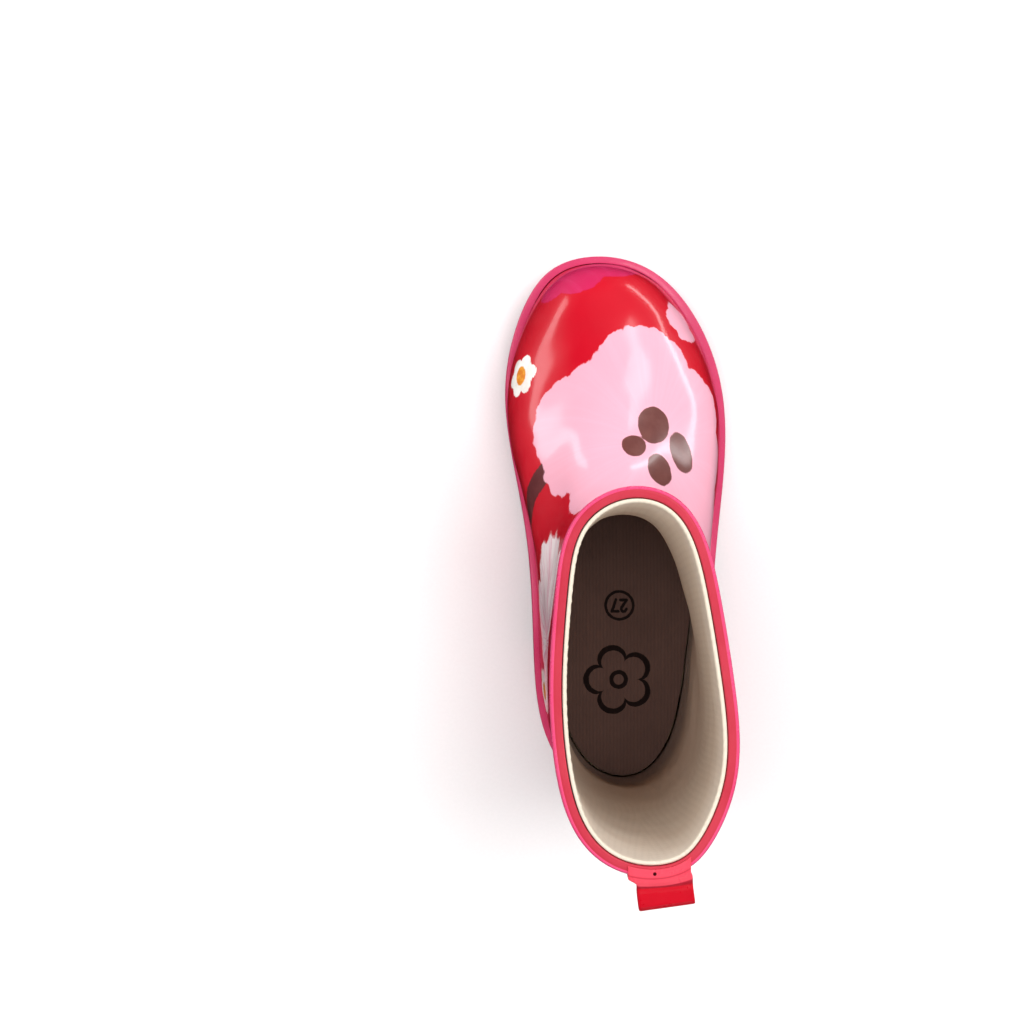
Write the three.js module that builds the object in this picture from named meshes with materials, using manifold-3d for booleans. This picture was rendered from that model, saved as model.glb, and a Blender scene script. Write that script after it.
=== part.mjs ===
// A child's slip-on rubber rain boot, right foot. Millimetres, +Z up, toe along +Y and the
// outer side of the foot along +X.
import * as THREE from 'three';
import Module from 'manifold-3d';

const wasm = await Module();
wasm.setup();
const { Manifold, Mesh: ManifoldMesh } = wasm;

// ---------------------------------------------------------------- driving dimensions
const SEGMENTS = 48;            // points around every ring
const GAP = 0.3;                // clearance between neighbouring pieces
const FOOT_LENGTH = 192;        // outside of the foxing, heel to toe
const HEEL_RISE = 8;            // how much higher the heel seat is than the ball
const TOE_SPRING = 3;           // how far the toe tip lifts off the floor
const LUG_DEPTH = 3;            // tread below the outsole sheet
const OUTSOLE_THICK = 3.5;
const FLANGE_THICK = 2;         // lasting margin of the upper, turned under the insole board
const FLANGE_WIDTH = 10;
const BOARD_THICK = 2;
const FOAM_THICK = 3;
const COVER_THICK = 1;
const FOXING_HEIGHT = 13.5;
const SKIN_THICK = 2;           // rubber of the upper
const LINING_THICK = 1.2;
const PAD_THICK = 0.8;          // toe puff and heel counter
const SHAFT_TOP = 192.6;        // cut edge of the rubber upper
const RIM_TOP = 195;            // top of the binding and of the lining
const BINDING_DROP = 9;
const BINDING_THICK = 1.2;
const STRAP_WIDTH = 18.4;
const STRAP_THICK = 0.9;
const STRAP_X = 4.6;            // the strap sits a little to the outer side
const STRAP_TAIL = 23;
const LOOP_X = 6.2;
const LOOP_WIDTH = 16.4;
const LOOP_REACH = 6.6;         // hinge line to the folded end
const LOOP_ROOT = 0.85;         // radius of the rounded root end
const LOOP_BELLY = 7.2;
const SEAM_STRIP_WIDTH = 14;
const SEAM_STRIP_THICK = 1;
const HEEL_ROUND = 43;          // sets how the strip's width is turned into an angle round the shaft

// heights of the layers above the floor, at the ball of the foot
const SOLE_TOP = LUG_DEPTH + OUTSOLE_THICK;
const FLANGE_BOTTOM = SOLE_TOP + GAP;
const BOARD_BOTTOM = FLANGE_BOTTOM + FLANGE_THICK + GAP;
const BED_BOTTOM = BOARD_BOTTOM + BOARD_THICK + GAP;
const COVER_BOTTOM = BED_BOTTOM + FOAM_THICK + GAP;
const FOXING_TOP = FLANGE_BOTTOM + FOXING_HEIGHT;

// A ring is written as the back and front point (y, z), the x of both, and the half widths of the
// inner (medial) and outer (lateral) side: roundness of the back end, widths at 30, 60, 90, 120 and
// 150 degrees, roundness of the front end.
const ring = (back, front, axis, medial, lateral) => ({ back, front, axis, medial, lateral });

const FOOTPRINT = ring([0, 0], [FOOT_LENGTH, 0], [0.7, -7.5],
  [46, 21.9, 29.2, 30.4, 35.4, 24.7, 60], [43, 21.6, 31.7, 38.6, 42, 27.5, 62]);

// outer skin of the upper, from the turned-under bottom edge to above the rim
const SKIN = [
  ring([2.6, 14.8], [189.4, 9.5], [0.7, -7.5],
    [44, 19.6, 26.6, 27.8, 32.8, 22.4, 57], [41, 19.3, 29.1, 36, 39.4, 25.2, 59]),
  ring([2.0, 24], [189.9, 19], [0.7, -7.5],
    [44, 19.9, 26.9, 28.0, 33.4, 22.6, 57], [42, 19.8, 29.4, 36, 39.6, 25.3, 59]),
  ring([1.2, 33], [188.2, 29.5], [0.7, -7.3],
    [44, 20.4, 27.3, 28.6, 34.9, 22.5, 56], [43, 20.4, 29.6, 35.5, 39, 24.8, 58]),
  ring([1.3, 43], [184.3, 40.5], [0.8, -6.5],
    [44, 20.3, 26.9, 28.5, 33.6, 21.2, 52], [43, 20.3, 29.2, 33.7, 36.9, 22.4, 54]),
  ring([1.8, 52], [173, 49.5], [0.9, -5.5],
    [43, 20, 26.5, 28.2, 30.2, 18.6, 46], [43, 20, 28.3, 31.9, 32.8, 19.8, 48]),
  ring([2.4, 61], [155, 57.2], [1, -4.5],
    [42, 19.5, 26.3, 26.9, 25.7, 15.8, 39], [42, 19.5, 27.7, 29.2, 27.8, 16.8, 40]),
  ring([2.8, 71], [133, 66], [1.2, -3.8],
    [41, 19, 26, 26, 22.8, 14.4, 34.5], [41, 19, 27, 27.5, 24, 15, 35.5]),
  ring([2.6, 84], [114.5, 78.5], [1.4, -3.2],
    [40, 18.6, 26, 26, 22, 14.4, 32.5], [40, 18.6, 26.6, 27, 22.4, 14.2, 33]),
  ring([1.5, 101], [105, 96], [1.7, -3],
    [41, 18.5, 26, 26.3, 22.3, 15, 32.5], [40, 18.2, 26.3, 26.6, 22.3, 14.5, 33.5]),
  ring([-0.6, 127], [104, 123], [2.2, -2.6],
    [43, 18.4, 26.1, 26.8, 22.9, 15.4, 32.8], [39, 17.2, 25.7, 26.1, 22.2, 14.7, 34]),
  ring([-2.8, 162], [106, 160], [2.4, -2.1],
    [41, 17.8, 25.6, 26.5, 23.2, 16, 33], [37, 16.3, 25.1, 25.4, 21.7, 14.7, 34]),
  ring([-4.9, 200], [107.4, 200], [2.3, -1.8],
    [39, 17.1, 25.1, 26.2, 23.4, 16.3, 33.2], [35, 15.5, 24.7, 24.9, 21.3, 14.7, 33.9]),
];

// ---------------------------------------------------------------- small maths
const clamp = (x, lo, hi) => Math.min(hi, Math.max(lo, x));
const smooth = (lo, hi, x) => { const t = clamp((x - lo) / (hi - lo), 0, 1); return t * t * (3 - 2 * t); };
const mix = (a, b, t) => a + (b - a) * t;
const rad = THREE.MathUtils.degToRad;

// Catmull-Rom through equally spaced values, at position u (0 .. n-1)
function spline(values, u) {
  const i = clamp(Math.floor(u), 0, values.length - 2), t = u - i;
  const at = (k) => values[clamp(k, 0, values.length - 1)];
  const [a, b, c, d] = [i - 1, i, i + 1, i + 2].map(at);
  return b + 0.5 * t * (c - a + t * (2 * a - 5 * b + 4 * c - d + t * (3 * (b - c) + d - a)));
}

// heel lift and toe spring of the whole sole, as a function of y
const rise = (y) => HEEL_RISE * (1 - smooth(58, 104, y)) + TOE_SPRING * clamp((y - 140) / 52, 0, 1.1) ** 2;
const lifted = (height) => (y) => height + rise(y);

// ---------------------------------------------------------------- rings and skin
function halfWidth(table, angle) {
  const factors = table.map((w, i) => (i === 0 || i === 6 ? w : w / Math.sin(rad(30 * i))));
  return spline(factors, angle / rad(30)) * Math.sin(angle);
}

function ringPoint(key, theta) {
  const wrapped = ((theta % (2 * Math.PI)) + 2 * Math.PI) % (2 * Math.PI);
  const angle = wrapped <= Math.PI ? wrapped : 2 * Math.PI - wrapped;
  const t = (1 - Math.cos(angle)) / 2;
  const side = wrapped <= Math.PI ? halfWidth(key.lateral, angle) : -halfWidth(key.medial, angle);
  return new THREE.Vector3(mix(...key.axis, t) + side, mix(key.back[0], key.front[0], t),
    mix(key.back[1], key.front[1], t));
}

function skinKey(v) {
  const blend = (pick) => spline(SKIN.map(pick), v);
  const list = (name, n) => Array.from({ length: n }, (_, i) => blend((k) => k[name][i]));
  return ring(list('back', 2), list('front', 2), list('axis', 2), list('medial', 7), list('lateral', 7));
}

function skinPoint(v, theta) {
  const key = skinKey(v), p = ringPoint(key, theta);
  const t = clamp((p.y - key.back[0]) / (key.front[0] - key.back[0]), 0, 1);
  const straight = mix(rise(key.back[0]), rise(key.front[0]), t);
  p.z += (rise(p.y) - straight) * (1 - smooth(0.5, 3.5, v));
  return p;
}

// point of the skin moved inwards by depth along the normal (negative = outwards)
function insidePoint(v, theta, depth) {
  const e = 0.01;
  const p = skinPoint(v, theta);
  const along = skinPoint(v, theta + e).sub(skinPoint(v, theta - e));
  const up = skinPoint(Math.min(v + e, SKIN.length - 1), theta).sub(skinPoint(Math.max(v - e, 0), theta));
  return p.addScaledVector(along.cross(up).normalize(), -depth);
}

// level (ring index) at which the shaft reaches a height
function levelAt(z) {
  let lo = 6, hi = SKIN.length - 1;
  for (let i = 0; i < 40; i++) {
    const v = (lo + hi) / 2, key = skinKey(v);
    if ((key.back[1] + key.front[1]) / 2 < z) lo = v; else hi = v;
  }
  return lo;
}

const THETAS = Array.from({ length: SEGMENTS }, (_, i) => (2 * Math.PI * i) / SEGMENTS);
const depthAt = (depth, v, th) => (typeof depth === 'function' ? depth(v, th) : depth);
const skinRing = (v, depth) => THETAS.map((th) => insidePoint(v, th, depthAt(depth, v, th)));

// ring of the lower skin at a height given as a function of y
function skinRingAt(height, depth) {
  return THETAS.map((th) => {
    let lo = 0, hi = 5, p;
    for (let i = 0; i < 30; i++) {
      const v = (lo + hi) / 2;
      p = insidePoint(v, th, depthAt(depth, v, th));
      if (p.z < height(p.y)) lo = v; else hi = v;
    }
    return p;
  });
}

// ring moved inwards in plan by inset, its height given as a function of y
function planRing(key, inset, height) {
  return THETAS.map((th) => {
    const along = ringPoint(key, th + 0.01).sub(ringPoint(key, th - 0.01)).setZ(0).normalize();
    const p = ringPoint(key, th).addScaledVector(new THREE.Vector3(along.y, -along.x, 0), -inset);
    return p.setZ(height(p.y));
  });
}

// ---------------------------------------------------------------- bodies from rings
function geometryFrom(points, faces) {
  const g = new THREE.BufferGeometry();
  g.setAttribute('position', new THREE.Float32BufferAttribute(points.flatMap((p) => [p.x, p.y, p.z]), 3));
  g.setIndex(faces.flat());
  return g;
}

const quad = (a, b, c, d) => [[a, b, c], [a, c, d]];

// hollow ring: the stack of rings is closed on itself (outside going up, inside coming down)
function hoop(rings) {
  const n = SEGMENTS, m = rings.length, faces = [];
  for (let i = 0; i < m; i++) for (let j = 0; j < n; j++) {
    const [a, b] = [i * n, ((i + 1) % m) * n], k = (j + 1) % n;
    faces.push(...quad(a + j, a + k, b + k, b + j));
  }
  return geometryFrom(rings.flat(), faces);
}

// filled plate: the end rings are closed by crossbars joining the two sides of the outline
function plate(rings) {
  const n = SEGMENTS, half = n / 2, last = (rings.length - 1) * n, faces = [];
  for (let i = 0; i + 1 < rings.length; i++) for (let j = 0; j < n; j++) {
    const k = (j + 1) % n;
    faces.push(...quad(i * n + j, i * n + k, (i + 1) * n + k, (i + 1) * n + j));
  }
  for (let j = 0; j < half; j++) {
    const [a, b] = [j, j + 1], [c, d] = [(n - j - 1) % n, (n - j) % n];
    const bars = j === 0 ? [[a, c, b]] : j === half - 1 ? [[a, d, b]] : [[a, c, b], [a, d, c]];
    for (const [p, q, r] of bars) faces.push([p, q, r], [last + p, last + r, last + q]);
  }
  return geometryFrom(rings.flat(), faces);
}

// patch of sheet: columns of outer points and of inner points, columns running round the foot
function patch(outer, inner) {
  const rows = outer[0].length, cols = outer.length, block = rows * cols, faces = [];
  const top = rows - 1, end = cols - 1;
  const id = (layer, c, r) => layer * block + c * rows + r;
  for (let c = 0; c < end; c++) {
    for (let r = 0; r < top; r++) {
      faces.push(...quad(id(0, c, r), id(0, c + 1, r), id(0, c + 1, r + 1), id(0, c, r + 1)));
      faces.push(...quad(id(1, c, r), id(1, c, r + 1), id(1, c + 1, r + 1), id(1, c + 1, r)));
    }
    faces.push(...quad(id(0, c, 0), id(1, c, 0), id(1, c + 1, 0), id(0, c + 1, 0)));
    faces.push(...quad(id(0, c, top), id(0, c + 1, top), id(1, c + 1, top), id(1, c, top)));
  }
  for (let r = 0; r < top; r++) {
    faces.push(...quad(id(0, 0, r), id(0, 0, r + 1), id(1, 0, r + 1), id(1, 0, r)));
    faces.push(...quad(id(0, end, r), id(1, end, r), id(1, end, r + 1), id(0, end, r + 1)));
  }
  return geometryFrom([...outer.flat(), ...inner.flat()], faces);
}

// ---------------------------------------------------------------- booleans
function solid(geometry) {
  const count = geometry.attributes.position.count;
  const g = geometry.index ? geometry : geometry.clone().setIndex([...Array(count).keys()]);
  const mesh = new ManifoldMesh({ numProp: 3, vertProperties: Float32Array.from(g.attributes.position.array),
    triVerts: Uint32Array.from(g.index.array) });
  mesh.merge();
  return new Manifold(mesh);
}

function geometryOf(manifold) {
  const mesh = manifold.getMesh(), g = new THREE.BufferGeometry();
  g.setAttribute('position', new THREE.BufferAttribute(Float32Array.from(mesh.vertProperties), 3));
  g.setIndex([...mesh.triVerts]);
  return g;
}

function prism(points, bottom, top) {
  const shape = new THREE.Shape(points.map(([x, y]) => new THREE.Vector2(x, y)));
  const g = new THREE.ExtrudeGeometry(shape, { depth: top - bottom, bevelEnabled: false });
  g.deleteAttribute('uv');
  g.deleteAttribute('normal');
  return solid(g.translate(0, 0, bottom));
}

// ---------------------------------------------------------------- sole unit
const WAIST_END = 104;          // front of the arch, where the tread begins
const TREAD_EDGE = 4;           // bare border around the tread
const BAR_PITCH = 13.5;
const BAR_WIDTH = 8;
const BAR_SWEEP = 7;            // how far the bars bend towards the toe in the middle
const CHANNEL = 5;              // groove along the middle of the tread
const TREAD_MIDDLE_X = -4;      // the sole curves inwards at the ball, and the groove with it
const BAR_REACH = 60;           // long enough to pass the edge of the tread
const BAR_TRAIL = 3;            // how far back a bar ends at the edge

// one half of a chevron bar, from the middle channel to the edge
function bar(y, side) {
  const inner = y + BAR_SWEEP, outer = y - BAR_TRAIL;
  const corners = [[CHANNEL / 2, inner], [BAR_REACH, outer], [BAR_REACH, outer + BAR_WIDTH],
    [CHANNEL / 2, inner + BAR_WIDTH]];
  return corners.map(([x, yy]) => [side * x + TREAD_MIDDLE_X, yy]);
}

function treadBars(first, last) {
  const bars = [];
  for (let y = first; y < last; y += BAR_PITCH) for (const side of [1, -1]) {
    const corners = bar(y, side);
    bars.push(prism(side > 0 ? corners : corners.reverse(), -1, LUG_DEPTH + 8));
  }
  return Manifold.union(bars);
}

function outsoleGeometry() {
  const body = solid(plate([
    planRing(FOOTPRINT, 1, lifted(LUG_DEPTH)),
    planRing(FOOTPRINT, 0.2, lifted(LUG_DEPTH + 0.8)),
    planRing(FOOTPRINT, 0.2, lifted(SOLE_TOP)),
  ]));
  const layer = solid(plate([
    planRing(FOOTPRINT, TREAD_EDGE, lifted(0)),
    planRing(FOOTPRINT, TREAD_EDGE, lifted(LUG_DEPTH + 1)),
  ]));
  return geometryOf(body.add(layer.intersect(treadBars(WAIST_END + 2, FOOT_LENGTH - 16))));
}

const HEEL_BREAST = 55;         // front face of the heel, at its middle
function heelGeometry() {
  const top = LUG_DEPTH + HEEL_RISE - GAP;
  const block = solid(plate([
    planRing(FOOTPRINT, 2.4, () => LUG_DEPTH),
    planRing(FOOTPRINT, 1.2, () => LUG_DEPTH + 2),
    planRing(FOOTPRINT, 0.8, () => top),
  ]));
  const pads = solid(plate([
    planRing(FOOTPRINT, TREAD_EDGE, () => 0),
    planRing(FOOTPRINT, TREAD_EDGE, () => LUG_DEPTH + 1),
  ]));
  const breast = [[-50, -10], [50, -10], [50, HEEL_BREAST - 4], [25, HEEL_BREAST - 1], [0, HEEL_BREAST],
    [-25, HEEL_BREAST - 1], [-50, HEEL_BREAST - 4]];
  const seat = prism([[-50, -10], [50, -10], [50, 18], [-50, 18]], -1, 20);
  const front = prism([[-50, 24], [50, 24], [50, HEEL_BREAST - 6], [-50, HEEL_BREAST - 6]], -1, 20);
  return geometryOf(block.intersect(prism(breast, -1, 30)).add(pads.intersect(seat.add(front))));
}

const layerPlate = (inset, bottom, thick) => plate([planRing(SKIN[0], inset, lifted(bottom)),
  planRing(SKIN[0], inset, lifted(bottom + thick))]);
const foxing = () => hoop([
  planRing(SKIN[0], -GAP, lifted(FLANGE_BOTTOM)),
  planRing(FOOTPRINT, 0.5, lifted(FLANGE_BOTTOM)),
  planRing(FOOTPRINT, 0, lifted(FLANGE_BOTTOM + 1)),
  planRing(FOOTPRINT, 0, lifted(FOXING_TOP - 1.6)),
  planRing(FOOTPRINT, 0.8, lifted(FOXING_TOP - 0.2)),
  ...[FOXING_TOP, FOXING_TOP - 4.5, FOXING_TOP - 9].map((h) => skinRingAt(lifted(h), -GAP)),
]);

// ---------------------------------------------------------------- upper, lining and stiffeners
const TOP_LEVEL = levelAt(SHAFT_TOP);
const LEVELS = [0.45, 1, 1.5, 2, 2.5, 3, 3.5, 4, 4.5, 5, 5.5, 6, 6.5, 7, 7.5, 8, 9, 10];

function upperGeometry() {
  return hoop([
    planRing(SKIN[0], FLANGE_WIDTH, lifted(FLANGE_BOTTOM)),
    planRing(SKIN[0], 1.2, lifted(FLANGE_BOTTOM)),
    ...[0.12, ...LEVELS, TOP_LEVEL].map((v) => skinRing(v, 0)),
    ...[TOP_LEVEL, ...LEVELS.slice().reverse()].map((v) => skinRing(v, SKIN_THICK)),
    planRing(SKIN[0], SKIN_THICK + 0.9, lifted(FLANGE_BOTTOM + FLANGE_THICK)),
    planRing(SKIN[0], FLANGE_WIDTH, lifted(FLANGE_BOTTOM + FLANGE_THICK)),
  ]);
}

// stiffened areas: half angle about the centre line, and top level
const TOE_PUFF = { middle: Math.PI, spread: rad(52.5), top: 3.5 };
const COUNTER = { middle: 0, spread: rad(52.5), top: 5 };
function cover(area, v, theta) {
  const away = Math.abs(Math.atan2(Math.sin(theta - area.middle), Math.cos(theta - area.middle)));
  const sideways = 1 - smooth(area.spread + rad(7.5), area.spread + rad(22.5), away);
  return sideways * (1 - smooth(area.top + 0.5, area.top + 1.5, v));
}
const liningDepth = (v, theta) => SKIN_THICK + GAP
  + (PAD_THICK + GAP) * Math.max(cover(TOE_PUFF, v, theta), cover(COUNTER, v, theta));

function liningGeometry() {
  const levels = [...LEVELS.slice(1), TOP_LEVEL], outside = SKIN_THICK + GAP;
  const inner = (v, th) => liningDepth(v, th) + LINING_THICK;
  return hoop([
    skinRingAt(lifted(BED_BOTTOM), liningDepth),
    ...levels.map((v) => skinRing(v, liningDepth)),
    rimRing(outside, RIM_TOP),
    rimRing(outside + LINING_THICK, RIM_TOP),
    ...levels.reverse().map((v) => skinRing(v, inner)),
    skinRingAt(lifted(BED_BOTTOM), inner),
  ]);
}

function stiffener(area) {
  const levels = LEVELS.filter((v) => v <= area.top), step = (2 * Math.PI) / SEGMENTS;
  const count = Math.round(area.spread / step);
  const columns = Array.from({ length: 2 * count + 1 }, (_, i) => area.middle + (i - count) * step);
  const sheet = (depth) => columns.map((th) => levels.map((v) => insidePoint(v, th, depth)));
  return patch(sheet(SKIN_THICK + GAP), sheet(SKIN_THICK + GAP + PAD_THICK));
}

// point beside the rim: depth from the skin (negative = outside) at a height
const rimPoint = (theta, depth, z) => insidePoint(levelAt(z), theta, depth).setZ(z);
const rimRing = (depth, z) => THETAS.map((th) => rimPoint(th, depth, z));
const BINDING_OUT = -(GAP + BINDING_THICK);
const binding = () => hoop([
  rimRing(-GAP, RIM_TOP - BINDING_DROP),
  rimRing(BINDING_OUT + 0.4, RIM_TOP - BINDING_DROP),
  rimRing(BINDING_OUT, RIM_TOP - BINDING_DROP + 1),
  rimRing(BINDING_OUT, RIM_TOP - 1.4),
  rimRing(BINDING_OUT + 0.5, RIM_TOP - 0.3),
  rimRing(BINDING_OUT + 1.4, RIM_TOP),
  rimRing(SKIN_THICK, RIM_TOP),
  rimRing(SKIN_THICK, SHAFT_TOP + GAP),
  rimRing(-GAP, SHAFT_TOP + GAP),
]);

// ---------------------------------------------------------------- pull strap and seam strip
const strapColumns = Array.from({ length: 7 }, (_, i) => STRAP_X + STRAP_WIDTH * (i / 6 - 0.5));

// point at the back of the shaft with a given x, so that the strap keeps its width
function backPoint(x, depth, z) {
  let lo = -0.8, hi = 0.8, p;
  for (let i = 0; i < 24; i++) {
    p = rimPoint((lo + hi) / 2, depth, z);
    if (p.x < x) lo = (lo + hi) / 2; else hi = (lo + hi) / 2;
  }
  return p;
}

// the bonded part: from the rim's inner edge over the binding and down the back of the shaft
function anchorGeometry() {
  const outside = BINDING_OUT - GAP, t = STRAP_THICK;
  const low = RIM_TOP - STRAP_TAIL, edge = RIM_TOP - BINDING_DROP, up = RIM_TOP + GAP;
  const near = [[-GAP, low], [-GAP, edge - 3], [outside, edge - 0.8], [outside, up - 0.3],
    [outside + 0.3, up], [1.4, up]];
  const far = [[-GAP - t, low], [-GAP - t, edge - 3.5], [outside - t, edge - 1.2], [outside - t, up + 0.2],
    [outside - t + 0.6, up + t - 0.05], [1.4, up + t]];
  const sheet = (path) => strapColumns.map((x) => path.map(([d, z]) => backPoint(x, d, z)));
  return patch(sheet(far), sheet(near));
}

// hinge line of the loop, straight along X just behind the strap's outer face
const HINGE_Z = RIM_TOP - 1.1;
const strapFace = strapColumns.map((x) => backPoint(x, BINDING_OUT - GAP - STRAP_THICK, HINGE_Z).y);
const HINGE_Y = Math.min(...strapFace) - GAP - LOOP_ROOT;

function loopGeometry() {
  const R = LOOP_ROOT, t = STRAP_THICK, L = LOOP_REACH, B = LOOP_BELLY;
  const turns = Array.from({ length: 7 }, (_, i) => rad(250 - 26 * i));
  const root = turns.map((a) => [R * Math.cos(a), R * Math.sin(a)]);
  const outline = [...root, [L - 1.4, R + 0.25], [L - 0.5, R - 0.1], [L, R - 0.9], [L, -2.6], [L - 0.1, -4.7],
    [L - 0.9, -B + 0.8], [L - 2.4, -B], [L - 4, -B + 0.1], [0.35, -4.6], [0.2, -2.2]];
  const eye = [[1.2, -0.1], [L - 1.7, R + 0.25 - t], [L - 1.05, -0.05], [L - t, -0.5], [L - t, -2.6],
    [L - t - 0.08, -4.4], [L - 1.6, -5.6], [L - 2.7, -B + t], [L - 3.5, -B + t], [1.25, -4.3], [1.15, -2.2]];
  const shape = new THREE.Shape(outline.map((p) => new THREE.Vector2(...p)));
  shape.holes.push(new THREE.Path(eye.reverse().map((p) => new THREE.Vector2(...p))));
  const g = new THREE.ExtrudeGeometry(shape, { depth: LOOP_WIDTH, bevelEnabled: false });
  const place = new THREE.Matrix4().set(
    0, 0, -1, LOOP_X + LOOP_WIDTH / 2,
    -1, 0, 0, HINGE_Y,
    0, 1, 0, HINGE_Z,
    0, 0, 0, 1,
  );
  return g.applyMatrix4(place);
}

function seamStripGeometry() {
  const columns = [-1, -0.5, 0, 0.5, 1].map((s) => Math.asin((s * SEAM_STRIP_WIDTH) / 2 / HEEL_ROUND));
  const top = levelAt(RIM_TOP - STRAP_TAIL - 3);
  const levels = [1.85, ...LEVELS.filter((v) => v >= 2), top];
  const sheet = (depth) => columns.map((th) => levels.map((v) => insidePoint(v, th, depth)));
  return patch(sheet(-GAP - SEAM_STRIP_THICK), sheet(-GAP));
}

// ---------------------------------------------------------------- assembly
const RUBBER_RED = 0xd5122c, PINK = 0xd63c64, CORAL = 0xf2506a, CREAM = 0xcdc3af, BROWN = 0x4b3732;
const group = new THREE.Group();
group.name = 'rain_boot';

function add(name, geometry, color, roughness) {
  const mesh = new THREE.Mesh(geometry, new THREE.MeshStandardMaterial({ color, roughness, metalness: 0 }));
  mesh.name = name;
  group.add(mesh);
}

add('outsole', outsoleGeometry(), 0xb92f55, 0.6);
add('heel_block', heelGeometry(), 0xb02a50, 0.6);
add('foxing_strip', foxing(), PINK, 0.35);
add('midsole_filler', layerPlate(FLANGE_WIDTH + GAP, FLANGE_BOTTOM, FLANGE_THICK), 0x8c7d6e, 0.9);
add('insole_board', layerPlate(SKIN_THICK + 1.3, BOARD_BOTTOM, BOARD_THICK), 0xb9a27f, 0.85);
add('upper_shell', upperGeometry(), RUBBER_RED, 0.18);
add('toe_puff', stiffener(TOE_PUFF), 0x9c8f7d, 0.8);
add('heel_counter', stiffener(COUNTER), 0x9c8f7d, 0.8);
add('lining_sock', liningGeometry(), CREAM, 0.95);
add('footbed_foam', layerPlate(5.5, BED_BOTTOM, FOAM_THICK), 0x6a5148, 0.9);
add('footbed_cover', layerPlate(5.8, COVER_BOTTOM, COVER_THICK), BROWN, 0.95);
add('top_binding', binding(), CORAL, 0.3);
add('pull_strap_anchor', anchorGeometry(), 0xfa5564, 0.35);
add('pull_loop', loopGeometry(), 0xd70a23, 0.3);
add('back_seam_strip', seamStripGeometry(), 0xc81430, 0.25);

// stand the boot on the origin
const box = new THREE.Box3().setFromObject(group);
const middle = box.getCenter(new THREE.Vector3());
for (const mesh of group.children) mesh.geometry.translate(-middle.x, -middle.y, -box.min.z);

export default group;
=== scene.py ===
import math

import bmesh
import bpy
import numpy as np
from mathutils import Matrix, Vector


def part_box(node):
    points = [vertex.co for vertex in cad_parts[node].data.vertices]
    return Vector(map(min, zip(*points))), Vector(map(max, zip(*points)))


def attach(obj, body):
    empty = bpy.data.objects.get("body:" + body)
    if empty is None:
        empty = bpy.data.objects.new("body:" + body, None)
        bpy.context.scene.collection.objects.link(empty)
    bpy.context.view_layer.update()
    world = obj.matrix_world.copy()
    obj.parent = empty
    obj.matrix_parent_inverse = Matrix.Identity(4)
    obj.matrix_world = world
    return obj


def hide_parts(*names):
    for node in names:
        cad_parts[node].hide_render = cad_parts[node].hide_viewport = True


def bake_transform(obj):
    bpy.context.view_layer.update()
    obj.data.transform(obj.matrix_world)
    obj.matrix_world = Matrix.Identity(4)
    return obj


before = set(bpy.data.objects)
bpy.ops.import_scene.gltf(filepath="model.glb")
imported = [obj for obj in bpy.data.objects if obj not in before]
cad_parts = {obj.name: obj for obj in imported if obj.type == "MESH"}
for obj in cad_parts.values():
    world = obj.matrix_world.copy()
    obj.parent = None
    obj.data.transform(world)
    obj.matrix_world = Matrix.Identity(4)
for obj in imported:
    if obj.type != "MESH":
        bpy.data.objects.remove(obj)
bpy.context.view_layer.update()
rad = math.radians
TAU = 2 * math.pi

# ------------------------------------------------------------------ sizes, in millimetres
# Sole coordinates: y = 0 at the back of the foxing, z = 0 on the floor. PLACE moves them into the frame.
NT = 400                      # points round every ring
GAP = 0.3
HEEL_RISE, HEEL_END, WAIST_END = 8.0, 58, 104
TOE_SPRING, SPRING_START, SPRING_LENGTH = 3.0, 140, 52
LUG_DEPTH, OUTSOLE_THICK = 3.0, 3.5
FLANGE_THICK, FLANGE_WIDTH = 2.0, 10.0
BOARD_THICK, FOAM_THICK, COVER_THICK = 2.0, 3.0, 1.0
FOXING_HEIGHT = 13.5
SKIN_THICK, LINING_THICK, PAD_THICK = 2.0, 1.2, 0.8
SHAFT_TOP, RIM_TOP = 192.6, 195.0
BINDING_DROP, BINDING_THICK = 9.0, 1.2
STRAP_X, STRAP_WIDTH, STRAP_THICK, STRAP_TAIL = 4.6, 18.4, 0.9, 23.0
SEAM_STRIP_WIDTH, HEEL_ROUND = 14.0, 43.0
LOOP_X, LOOP_WIDTH, LOOP_REACH, LOOP_ROOT, LOOP_BELLY = 6.2, 16.4, 6.6, 0.85, 7.2
SOLE_TOP = LUG_DEPTH + OUTSOLE_THICK
FLANGE_BOTTOM = SOLE_TOP + GAP
BOARD_BOTTOM = FLANGE_BOTTOM + FLANGE_THICK + GAP
BED_BOTTOM = BOARD_BOTTOM + BOARD_THICK + GAP
COVER_BOTTOM = BED_BOTTOM + FOAM_THICK + GAP
FOXING_TOP = FLANGE_BOTTOM + FOXING_HEIGHT

LOOP_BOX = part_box("pull_loop")
FOXING_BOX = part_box("foxing_strip")
PLACE = np.array([(LOOP_BOX[0].x + LOOP_BOX[1].x) * 500 - LOOP_X, FOXING_BOX[0].y * 1000, 0.0])


def ring(back, front, axis, medial, lateral):
    return [*back, *front, *axis, *medial, *lateral]


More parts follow.
